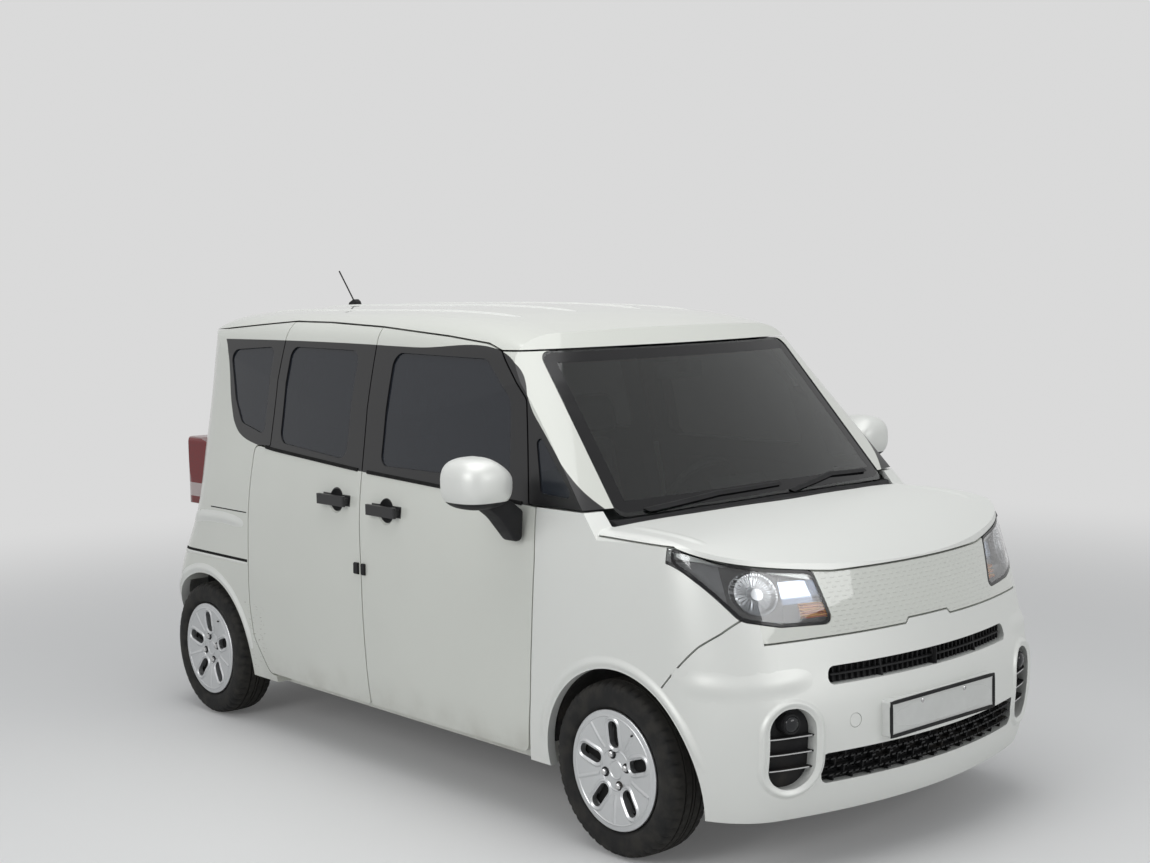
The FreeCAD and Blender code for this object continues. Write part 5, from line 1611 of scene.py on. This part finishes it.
@dataclass
class Mirrors:
    """The outside mirrors: a painted cap on a black shell, a glass and a black arm."""

    centre: Point = (-0.940, -0.700, 1.152)
    half: Point = (0.103, 0.110, 0.084)
    back: float = -0.638
    edge: float = 1.096
    boxiness: float = 0.72
    slope: float = 0.62
    rim_width: float = 0.007
    rim_slant: float = 0.003
    rim_depth: float = 0.005

    def head(self) -> Form:
        """Make the head; material 0 is the cap, 1 the shell and the rim, 2 the glass.

        Returns:
            The right head.
        """
        form = bmesh.new()
        bmesh.ops.create_uvsphere(form, u_segments=48, v_segments=32, radius=1.0)
        for vert in form.verts:
            place = [math.copysign(abs(value) ** self.boxiness, value) for value in vert.co]
            if place[2] > 0.0 and place[0] > 0.1:
                place[2] *= 1.0 - self.slope * (place[0] - 0.1) ** 1.3
            vert.co = Vector(self.centre) + Vector(a * b for a, b in zip(place, self.half))
        whole = form.verts[:] + form.edges[:] + form.faces[:]
        bmesh.ops.bisect_plane(form, geom=whole, plane_co=(0.0, self.back, 0.0), plane_no=(0.0, 1.0, 0.0),
                               clear_outer=True)
        bmesh.ops.holes_fill(form, edges=[edge for edge in form.edges if edge.is_boundary])
        whole = form.verts[:] + form.edges[:] + form.faces[:]
        bmesh.ops.bisect_plane(form, geom=whole, plane_co=(0.0, 0.0, self.edge), plane_no=(0.0, 0.0, 1.0))
        flat = [face for face in form.faces
                if face.normal.y > 0.99 and face.calc_center_median().y > self.back - 1e-4]
        bmesh.ops.dissolve_faces(form, faces=flat)
        glass = max(form.faces, key=lambda face: face.calc_area())
        for face in form.faces:
            face.material_index = 1 if face.calc_center_median().z < self.edge else 0
        for thickness, depth in ((self.rim_width, 0.0), (self.rim_slant, -self.rim_depth)):
            bmesh.ops.inset_region(form, faces=[glass], thickness=thickness, depth=depth)
            for face in [face for edge in glass.edges for face in edge.link_faces]:
                face.material_index = 1
        glass.material_index = 2
        return form

    def arm(self) -> Form:
        """Make the arm from the head down to the door.

        Returns:
            The right arm.
        """
        x, y, z = self.centre
        outline = [(x - 0.012, z - 0.060), (x + 0.096, z - 0.060), (x + 0.150, z - 0.100),
                   (x + 0.150, z - 0.196), (x + 0.124, z - 0.202), (x + 0.062, z - 0.120)]
        form = bmesh.new()
        face = form.faces.new([form.verts.new((u, y - 0.062, v)) for u, v in outline])
        far = bmesh.ops.extrude_face_region(form, geom=[face])["geom"]
        moved = [part for part in far if isinstance(part, bmesh.types.BMVert)]
        bmesh.ops.translate(form, vec=(0.0, 0.104, 0.0), verts=moved)
        for vert in form.verts:
            drop = max(0.0, (z - 0.060 - vert.co.z) / 0.14)
            vert.co.y = y - 0.010 + (vert.co.y - y + 0.010) * (1.0 - 0.30 * drop)
        bmesh.ops.bevel(form, geom=form.edges[:], offset=0.012, offset_type="OFFSET", segments=3, profile=0.5,
                        affect="EDGES", material=-1, clamp_overlap=True)
        bmesh.ops.recalc_face_normals(form, faces=form.faces)
        return form

    def build(self) -> None:
        """Build both mirrors in place of their nodes."""
        for side, _, sign in SIDES:
            body = f"door_front_{side}"
            head, arm = self.head(), self.arm()
            if sign > 0:
                head, arm = flipped(head), flipped(arm)
            made = place_piece(f"mirror_head_{side}", head, Finishes.PAINT, body, 40.0)
            made.data.materials.append(Finishes.MATT_BLACK.material)
            made.data.materials.append(Finishes.CHROME.material)
            foot = place_piece(f"mirror_arm_{side}", arm, Finishes.MATT_BLACK, body)
            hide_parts(f"mirror_{side}")
            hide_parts(f"mirror_{side}")


@dataclass
class Headlamps:
    """The black borders inside the edges of the headlamps' clear lenses."""

    middle: Pair = (-0.590, 0.862)
    inset: float = 0.0055
    width: float = 0.009
    turns: int = 96

    def build(self) -> None:
        """Find each lens's edge from its middle outwards, and lay the border along it."""
        skin = Skin(("headlamp_lenses",))
        x, z = self.middle
        line = []
        for index in range(self.turns):
            angle = math.tau * index / self.turns
            reach = 0.03
            while skin.at(View.FRONT, x + reach * math.cos(angle), z + reach * math.sin(angle)):
                reach += 0.001
            reach -= self.inset
            line.append((x + reach * math.cos(angle), z + reach * math.sin(angle)))
        form = laid(skin, View.FRONT, rounded(line, 1, True), strip_profile(self.width, 0.0003), True, 0.008)
        place_piece("headlamp_borders", both(form), Finishes.GLOSS_BLACK, "body")


@dataclass
class RoadWheel:
    """One tyre with its tread, and the raised forms, nuts and valve of its cover.

    Attributes:
        place: Front or rear.
        side: Right or left.
        view: The view that shows its cover.
        sign: Side of the car, -1 for the right.
        steps: How many faces go round the tyre.
        slots: Number of slots in the cover.
        slot_circle: Radius of the circle of the slots' middles.
        nut_circle: Radius of the circle of the nuts.
        nut_turn: Turn of the first nut from the front, in degrees.
        valve_circle: Radius of the circle that the valve stands on.
        slot_shade_disc_rise: How far the black disc behind the slots stands out from the track; the disc is
            painted shade that makes the slots read dark.
    """

    place: str
    side: str
    view: View
    sign: float
    steps: int = 192
    slots: int = 5
    slot_circle: float = 0.113
    nut_circle: float = 0.050
    nut_turn: float = 73.0
    valve_circle: float = 0.158
    slot_shade_disc_rise: float = 0.050

    @property
    def axle(self) -> float:
        """Where the axle stands along the car."""
        return FRONT_AXLE if self.place == "front" else REAR_AXLE

    @property
    def end(self) -> str:
        """The end of the names of its pieces."""
        return f"{self.place}_{self.side}"

    @property
    def body(self) -> str:
        """The body that the wheel rides on, and its node."""
        return f"wheel_{self.end}"

    def around(self, reach: float, turn: float) -> Pair:
        """Give the place on the cover at a distance from its axle and a turn in degrees from the top."""
        angle = math.radians(turn)
        return self.axle - reach * math.sin(angle), WHEEL_Z + reach * math.cos(angle)

    def tyre(self) -> None:
        """Turn the tyre and press its grooves, sipes and shoulder blocks."""
        half = [(0.0, 0.277), (0.0035, 0.2768), (0.004, 0.2705), (0.0085, 0.2705), (0.009, 0.2767),
                (0.020, 0.2765), (0.030, 0.2763), (0.0305, 0.2700), (0.0370, 0.2700), (0.0375, 0.2758),
                (0.048, 0.2748), (0.058, 0.2733), (0.067, 0.2698), (0.0735, 0.2640), (0.0775, 0.2560),
                (0.0805, 0.2440), (0.0822, 0.2320), (0.0818, 0.2200), (0.0795, 0.2060), (0.0760, 0.2000),
                (0.0735, 0.1985), (0.0700, 0.1945), (0.0660, 0.1905), (0.0655, 0.1806)]
        profile = [(r, u) for u, r in half] + [(r, -u) for u, r in reversed(half[1:])]
        profile.append(profile[0])
        form = turned(profile, (0, 0, 0), (1, 0, 0), self.steps)
        for vert in form.verts:
            reach = math.hypot(vert.co.y, vert.co.z)
            step = round(math.atan2(vert.co.z, vert.co.y) / math.tau * self.steps) % 4
            wide = abs(vert.co.x)
            sunk = 0.0
            if reach > 0.262 and wide > 0.040 and step == 0:
                sunk = 0.0055
            elif reach > 0.275 and 0.010 < wide < 0.030 and step == (1 if vert.co.x > 0 else 3):
                sunk = 0.004
            vert.co.y *= 1 - sunk / reach
            vert.co.z *= 1 - sunk / reach
        bmesh.ops.translate(form, vec=(self.sign * HALF_TRACK, self.axle, WHEEL_Z), verts=form.verts)
        finish = Finishes.FRONT_TYRE if self.place == "front" else Finishes.REAR_TYRE
        made = place_piece(f"treaded_tyre_{self.end}", form, finish, self.body, 40.0)
        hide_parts(f"tyre_{self.end}")

    def cover(self) -> None:
        """Lay the raised contours round the slots, the crests between them and the hub's rings."""
        skin = Skin((self.body,))
        contour, crest = bead_profile(0.015, 0.0055, 6), bead_profile(0.016, 0.0035, 6)
        forms = []
        for index in range(self.slots):
            turn = 360.0 / self.slots * index
            line = obround(*self.around(self.slot_circle, turn), 0.0285, 0.0525, 12, turn)
            forms.append(laid(skin, self.view, line, contour, True, 0.01))
            turn += 180.0 / self.slots
            line = [self.around(reach, turn) for reach in (0.078, 0.168)]
            forms.append(laid(skin, self.view, line, crest, False, 0.01))
        for radius, height in ((0.0285, 0.003), (0.0655, 0.0025), (0.171, 0.0025)):
            line = circle(self.axle, WHEEL_Z, radius, 40)
            forms.append(laid(skin, self.view, line, bead_profile(0.008, height, 6), True, 0.02))
        place_piece(f"cover_forms_{self.end}", joined(*forms), Finishes.SILVER, self.body,
                    RIDGE_ANGLE)

    def lathed(self, profile: Line, rise: float, spot: Pair, steps: int) -> Form:
        """Turn a small fitting that stands out from the wheel.

        Args:
            profile: Radius and rise of each of its points.
            rise: How far its foot stands out from the track.
            spot: Its place on the wheel, along the car and up.
            steps: How many faces go round.

        Returns:
            The fitting.
        """
        return turned(profile, (self.sign * (HALF_TRACK + rise), *spot), (self.sign, 0.0, 0.0), steps)

    def nuts(self) -> None:
        """Add the bright nuts in their black seats, the valve, and a black disc behind the slots as painted
        shade that makes them read dark.
        """
        nut = [(0.0, 0.0), (0.0100, 0.0), (0.0100, 0.0055), (0.0080, 0.0085), (0.0045, 0.0098), (0.0, 0.0100)]
        seat = [(0.0098, -0.001), (0.0098, 0.0016), (0.0125, 0.0024), (0.0155, 0.0012), (0.0160, -0.001),
                (0.0098, -0.001)]
        valve = [(0.0, 0.020), (0.0032, 0.020), (0.0036, 0.010), (0.0045, 0.002), (0.0060, -0.003)]
        plate = [(0.062, 0.0), (0.160, 0.0), (0.160, 0.001), (0.062, 0.001), (0.062, 0.0)]
        nuts, seats = [], []
        for index in range(4):
            spot = self.around(self.nut_circle, self.nut_turn - 90.0 + 90.0 * index)
            nuts.append(self.lathed(nut, 0.0695, spot, 6))
            seats.append(self.lathed(seat, 0.0662, spot, 24))
        place_piece(f"nuts_{self.end}", joined(*nuts), Finishes.STEEL, self.body, angle=20.0)
        seats.append(self.lathed(valve, 0.066, self.around(self.valve_circle, 180.0 / self.slots), 16))
        place_piece(f"nut_seats_{self.end}", joined(*seats), Finishes.MATT_BLACK, self.body)
        # painted shade: a black disc behind the cover so that its slots show dark
        back = self.lathed(plate, self.slot_shade_disc_rise, (self.axle, WHEEL_Z), 48)
        place_piece(f"slot_shade_disc_{self.end}", back, Finishes.SEAL, self.body)

    def build(self) -> None:
        """Build the wheel."""
        self.tyre()
        self.cover()
        self.nuts()


@dataclass
class Pad:
    """One stuffed pad of a seat, before its cloth is blown up.

    Attributes:
        low: Its lowest corner.
        high: Its highest corner.
        lean: How far it leans back for each metre of height.
        taper: Share of its width that is left at the top.
        dish: How far its middle sinks between the bolsters.
        seams: Places of its upright sewn channels, across from its middle.
        rows: Heights, or places along the car, of its cross channels.
    """

    low: Point
    high: Point
    lean: float = 0.0
    taper: float = 1.0
    dish: float = 0.0
    seams: tuple[float, ...] = ()
    rows: tuple[float, ...] = ()

    @property
    def upright(self) -> bool:
        """Whether it is a backrest, which is taller than deep."""
        return self.high[2] - self.low[2] > self.high[1] - self.low[1]

    def form(self) -> Form:
        """Make its plain shape with rounded edges and bolsters.

        Returns:
            The shape.
        """
        shape = block(self.low, self.high, 0.035, 4)
        bmesh.ops.subdivide_edges(shape, edges=shape.edges[:], cuts=3, use_grid_fill=True)
        middle = (self.low[0] + self.high[0]) / 2
        half = (self.high[0] - self.low[0]) / 2
        for vert in shape.verts:
            share = (vert.co.z - self.low[2]) / (self.high[2] - self.low[2])
            across = (vert.co.x - middle) / half
            front = (self.high[1] - vert.co.y) / (self.high[1] - self.low[1]) if self.upright else share
            sink = self.dish * (1.0 - abs(across) ** 4) * max(0.0, front)
            if self.upright:
                vert.co.y += sink
            else:
                vert.co.z -= sink
            vert.co.x = middle + (vert.co.x - middle) * (1.0 - (1.0 - self.taper) * share)
            vert.co.y += self.lean * (vert.co.z - self.low[2])
        return shape

    def press(self, form: Form) -> None:
        """Press the sewn channels into the blown-up cloth that belongs to this pad.

        Args:
            form: The whole seat's cloth.
        """
        middle = (self.low[0] + self.high[0]) / 2
        for vert in form.verts:
            back = vert.co.y - self.lean * (vert.co.z - self.low[2])
            reaches = zip(self.low, (vert.co.x, back, vert.co.z), self.high)
            if not all(low - 0.03 < value < high + 0.03 for low, value, high in reaches):
                continue
            away = abs(vert.co.x - middle)
            near = min([abs(away - seam) for seam in self.seams] or [1.0])
            if away < (self.seams[0] if self.seams else 1.0):
                along = vert.co.z if self.upright else vert.co.y
                near = min([near] + [abs(along - row) for row in self.rows])
            vert.co -= vert.normal * 0.008 * math.exp(-(near / 0.009) ** 2)


@dataclass
class Seat:
    """A seat of several pads on a plinth.

    Attributes:
        name: Name of the seat's pieces.
        node: The CAD node that they stand for.
        pads: Its pads.
        plinths: Its hard blocks, as pairs of corners.
        voxel: Size of the cloth's faces before it is smoothed.
        pressure: Air pressure that blows the cloth up.
        frames: Number of the cloth's frames.
        swell: The most that a point of the cloth may move.
    """

    name: str
    node: str
    pads: list[Pad]
    plinths: list[tuple[Point, Point]]
    voxel: float = 0.014
    pressure: float = 4.0
    frames: int = 16
    swell: float = 0.012

    def cloth(self, piece: bpy.types.Object) -> None:
        """Blow the cloth up with air pressure for a few frames, and hold each point near its start.

        Args:
            piece: The pads.
        """
        scene = bpy.context.scene
        start = [vert.co.copy() for vert in piece.data.vertices]
        blown = piece.modifiers.new("cloth", "CLOTH")
        blown.settings.use_pressure = True
        blown.settings.uniform_pressure_force = self.pressure
        blown.settings.effector_weights.gravity = 0.0
        blown.settings.quality = 4
        for number in range(1, self.frames + 1):
            scene.frame_set(number)
        graph = bpy.context.evaluated_depsgraph_get()
        mesh = bpy.data.meshes.new_from_object(piece.evaluated_get(graph))
        piece.modifiers.clear()
        for vert, rest in zip(mesh.vertices, start):
            step = vert.co - rest
            if step.length > self.swell:
                vert.co = rest + step.normalized() * self.swell
        piece.data = mesh
        scene.frame_set(1)

    def remeshed(self, piece: bpy.types.Object, kind: str, **values: object) -> None:
        """Apply one modifier to a piece.

        Args:
            piece: The piece.
            kind: The modifier's type.
            values: Its properties, by name.
        """
        made = piece.modifiers.new(kind.lower(), kind)
        for name, value in values.items():
            setattr(made, name, value)
        graph = bpy.context.evaluated_depsgraph_get()
        mesh = bpy.data.meshes.new_from_object(piece.evaluated_get(graph))
        piece.modifiers.clear()
        piece.data = mesh

    def build(self) -> None:
        """Build the pads as one piece, and the plinth under them."""
        form = joined(*[pad.form() for pad in self.pads])
        piece = add_mesh(f"{self.name}_pads", form, Finishes.CLOTH.material)
        self.remeshed(piece, "REMESH", mode="VOXEL", voxel_size=self.voxel)
        self.cloth(piece)
        self.remeshed(piece, "SUBSURF", levels=1, render_levels=1)
        form = bmesh.new()
        form.from_mesh(piece.data)
        for pad in self.pads:
            form.normal_update()
            pad.press(form)
        form.to_mesh(piece.data)
        form.free()
        piece.data.materials.clear()
        piece.data.materials.append(Finishes.CLOTH.material)
        piece.data.shade_smooth()
        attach(piece, "body")
        LOG.info("%s of %d pads", piece.name, len(self.pads))
        form = joined(*[block(*corners, 0.006) for corners in self.plinths])
        base = place_piece(f"{self.name}_plinth", form, Finishes.CABIN, "body")
        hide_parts(self.node)
        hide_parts(self.node)


@dataclass
class Cabin:
    """The dashboard's fittings, the controls, the door linings, the mats and the inner mirror."""

    wheel_centre: Point = (0.360, -0.395, 0.935)
    wheel_tilt: float = 28.0
    dash_y: float = -0.566
    vent_places: tuple[float, ...] = (-0.56, -0.10, 0.10, 0.57)
    vent_z: float = 0.885
    dial_places: Pair = (0.310, 0.410)
    dial_z: float = 0.975
    knob_places: tuple[float, ...] = (-0.065, 0.0, 0.065)
    knob_z: float = 0.700
    floor_z: float = 0.2325
    boot_z: float = 0.4685
    seat_x: float = 0.330
    bench_x: float = 0.268

    def dash(self) -> None:
        """Add the vents, the display, the knobs and the seams of the dashboard."""
        skin = Skin(("dashboard",))
        ring = [(0.034, -0.004), (0.034, 0.004), (0.038, 0.007), (0.042, 0.004), (0.042, -0.004),
                (0.034, -0.004)]
        rings, slats = [], []
        for x in self.vent_places:
            found = skin.at(View.REAR, x, self.vent_z)
            place = found[0] if found else Vector((x, self.dash_y, self.vent_z))
            rings.append(turned(ring, place, (0, 1, 0), 36))
            for rise in (-0.020, -0.010, 0.0, 0.010, 0.020):
                z = self.vent_z + rise
                low, high = (x - 0.030, place.y - 0.001, z - 0.0018), (x + 0.030, place.y + 0.003, z + 0.0018)
                slats.append(block(low, high, 0.0006, 1))
        place_piece("vent_rings", joined(*rings), Finishes.STEEL, "body")
        place_piece("vent_slats", joined(*slats), Finishes.MATT_BLACK, "body")
        hit = skin.at(View.REAR, 0.0, 0.80)
        y = hit[0].y if hit else self.dash_y
        display = block((-0.095, y - 0.01, 0.735), (0.095, y + 0.008, 0.840), 0.004)
        place_piece("display", display, Finishes.SCREEN_GLASS, "body")
        knob = [(0.0, 0.022), (0.016, 0.022), (0.019, 0.019), (0.020, 0.0), (0.021, -0.01)]
        knobs = [turned(knob, (x, y + 0.004, self.knob_z), (0, 1, 0), 30) for x in self.knob_places]
        place_piece("heater_knobs", joined(*knobs), Finishes.MATT_BLACK, "body")
        line = rounded([(-0.54, 0.735), (-0.20, 0.735), (-0.20, 0.845), (-0.54, 0.845)], 2, True)
        seam = laid(skin, View.REAR, line, strip_profile(0.003, 0.0005), True)
        place_piece("glovebox_seam", seam, Finishes.SEAL, "body")
        dial = [(0.0, 0.001), (0.036, 0.001), (0.038, 0.004), (0.041, 0.004), (0.042, -0.002)]
        found = [skin.at(View.REAR, x, self.dial_z) for x in self.dial_places]
        dials = [turned(dial, *station, 36) for station in found if station]
        place_piece("dials", joined(*dials), Finishes.SCREEN_GLASS, "body")

    def controls(self) -> None:
        """Add the wheel's pad, the gear lever, the hand brake and the pedals."""
        tilt = Matrix.Rotation(math.radians(self.wheel_tilt - 90.0), 3, "X")
        pad = block((-0.075, -0.060, -0.010), (0.075, 0.060, 0.020), 0.018, 4)
        bmesh.ops.rotate(pad, cent=(0, 0, 0), matrix=tilt, verts=pad.verts)
        bmesh.ops.translate(pad, vec=self.wheel_centre, verts=pad.verts)
        place_piece("steering_pad", pad, Finishes.CABIN, "body")
        lever = [(0.0, 0.150), (0.014, 0.148), (0.021, 0.135), (0.020, 0.115), (0.009, 0.098), (0.006, 0.095),
                 (0.006, 0.02), (0.030, 0.0), (0.040, -0.01)]
        form = turned(lever, (0.0, -0.44, 0.475), (0.0, 0.10, 1.0), 28)
        place_piece("gear_lever", form, Finishes.LEATHER, "body")
        brake = joined(block((-0.016, -0.16, 0.40), (0.016, 0.04, 0.428), 0.010, 3),
                       block((-0.03, -0.20, 0.325), (0.03, -0.10, 0.41), 0.008))
        rise = Matrix.Rotation(math.radians(-6), 3, "X")
        bmesh.ops.rotate(brake, cent=(0, -0.16, 0.40), matrix=rise, verts=brake.verts)
        place_piece("hand_brake", brake, Finishes.CABIN, "body")
        pedals = []
        for x, half in ((0.245, 0.028), (0.345, 0.032), (0.440, 0.022)):
            pedals.append(block((x - half, -0.655, 0.330), (x + half, -0.635, 0.400), 0.004))
            pedals.append(block((x - 0.006, -0.690, 0.36), (x + 0.006, -0.650, 0.585), 0.003))
        place_piece("pedals", joined(*pedals), Finishes.MATT_BLACK, "body")

    def linings(self) -> None:
        """Lay a moulded lining with an armrest and a pocket on the cabin side of each door."""
        front, rear = (-0.66, 0.11), (0.27, 0.86)
        doors = (("front_right", "door_front_right", View.CABIN_RIGHT, front),
                 ("front_left", "door_front_left", View.CABIN_LEFT, front),
                 ("rear_right", "sliding_door", View.CABIN_RIGHT, rear),
                 ("rear_left", "door_rear_left", View.CABIN_LEFT, rear))
        for name, node, view, (start, end) in doors:
            body = "body" if node == "sliding_door" else node
            skin = Skin((node,))
            form = bmesh.new()
            bmesh.ops.create_grid(form, x_segments=40, y_segments=40, size=1.0)
            for vert in form.verts:
                a, b = vert.co.x, vert.co.y
                y = (start + end) / 2 + (end - start) / 2 * a * (1.0 - 0.03 * b * b)
                z = 0.70 + 0.36 * b * (1.0 - 0.03 * a * a)
                found = skin.at(view, y, z)
                place = found[0] if found else Vector((math.copysign(0.733, view.value[1]), y, z))
                rise = 0.012 * (1.0 - max(abs(a), abs(b)) ** 24) - 0.002
                rest = math.exp(-((b - 0.02) / 0.11) ** 4) * max(0.0, 1.0 - (abs(a + 0.05) / 0.72) ** 6)
                pocket = math.exp(-((b + 0.74) / 0.16) ** 4) * max(0.0, 1.0 - (abs(a) / 0.80) ** 6)
                depth = rise + 0.034 * rest + 0.020 * pocket
                vert.co = place - Vector((math.copysign(depth, place.x), 0.0, 0.0))
            bmesh.ops.recalc_face_normals(form, faces=form.faces)
            lining = place_piece(f"door_lining_{name}", form, Finishes.CABIN, body, 50.0)
            inward = lining.data.polygons[800].normal.x * math.copysign(1.0, view.value[1])
            if inward > 0:
                lining.data.flip_normals()

    def mats(self) -> None:
        """Lay the foot mats and the boot carpet."""
        spots = (((-0.52, -0.62), (-0.13, -0.30), self.floor_z), ((0.13, -0.62), (0.52, -0.30), self.floor_z),
                 ((-0.53, 0.20), (-0.12, 0.50), self.floor_z), ((0.12, 0.20), (0.53, 0.50), self.floor_z),
                 ((-0.50, 1.19), (0.50, 1.62), self.boot_z))
        forms = [block((*low, z), (*high, z + 0.007), 0.003) for low, high, z in spots]
        place_piece("mats", joined(*forms), Finishes.CARPET, "body")

    def mirror(self) -> None:
        """Hang the inner mirror under the top of the windscreen."""
        skin = Skin(("windscreen",))
        hit = skin.at(View.FRONT, 0.0, 1.500)
        y = (hit[0].y if hit else -0.72) + 0.03
        stem = block((-0.010, y - 0.012, 1.455), (0.010, y + 0.030, 1.500), 0.004)
        head = block((-0.115, y + 0.028, 1.430), (0.115, y + 0.050, 1.492), 0.010, 3)
        place_piece("inner_mirror", joined(stem, head), Finishes.CABIN, "body")
        glass = block((-0.106, y + 0.0495, 1.438), (0.106, y + 0.0515, 1.484), 0.0008, 1)
        place_piece("inner_mirror_glass", glass, Finishes.CHROME, "body")

    def seats(self) -> None:
        """Build the front seats and the rear bench."""
        places = (-self.seat_x, self.seat_x)
        pads = []
        for x in places:
            pads.append(Pad((x - 0.228, -0.325, 0.445), (x + 0.228, 0.125, 0.580), dish=0.022, seams=(0.140,),
                            rows=(-0.14, 0.01)))
            pads.append(Pad((x - 0.226, 0.110, 0.475), (x + 0.226, 0.222, 1.140), lean=0.168, taper=0.84,
                            dish=0.026, seams=(0.130,), rows=(0.62, 0.80, 0.98)))
            pads.append(Pad((x - 0.115, 0.118, 1.165), (x + 0.115, 0.190, 1.320), lean=0.168, taper=0.90))
        posts = [x + away for x in places for away in (-0.05, 0.05)]
        plinths = [((x - 0.175, -0.29, self.floor_z), (x + 0.175, 0.09, 0.440)) for x in places]
        plinths += [((x - 0.004, 0.275, 1.10), (x + 0.004, 0.283, 1.20)) for x in posts]
        Seat("front_seat", "front_seats", pads, plinths).build()
        bench = []
        for x in (-self.bench_x, self.bench_x):
            bench.append(Pad((x - 0.262, 0.565, 0.440), (x + 0.262, 0.985, 0.580), dish=0.012, seams=(0.18,),
                             rows=(0.72,)))
            bench.append(Pad((x - 0.262, 0.955, 0.480), (x + 0.262, 1.065, 1.120), lean=0.165, taper=0.95,
                             dish=0.014, seams=(0.17,), rows=(0.66, 0.86)))
        plinths = [((-0.48, 0.60, 0.3405), (0.48, 0.93, 0.440))]
        Seat("rear_bench", "rear_seat", bench, plinths, voxel=0.016).build()

    def build(self) -> None:
        """Build the cabin."""
        self.dash()
        self.controls()
        self.linings()
        self.mats()
        self.mirror()
        self.seats()


def main() -> None:
    """Build the studio and dress the car, sub-assembly by sub-assembly."""
    logging.basicConfig(level=logging.INFO, format="%(name)s: %(message)s")
    Studio().build()
    finish_nodes()
    assemblies = (SideTrim(), RoofTrim(), FrontEnd(), Headlamps(), Plates(), RearEnd(), Mirrors(), Cabin())
    for assembly in assemblies:
        assembly.build()
    for side, view, sign in SIDES:
        for place in ("front", "rear"):
            RoadWheel(place, side, view, sign).build()


if __name__ == "__main__":
    main()
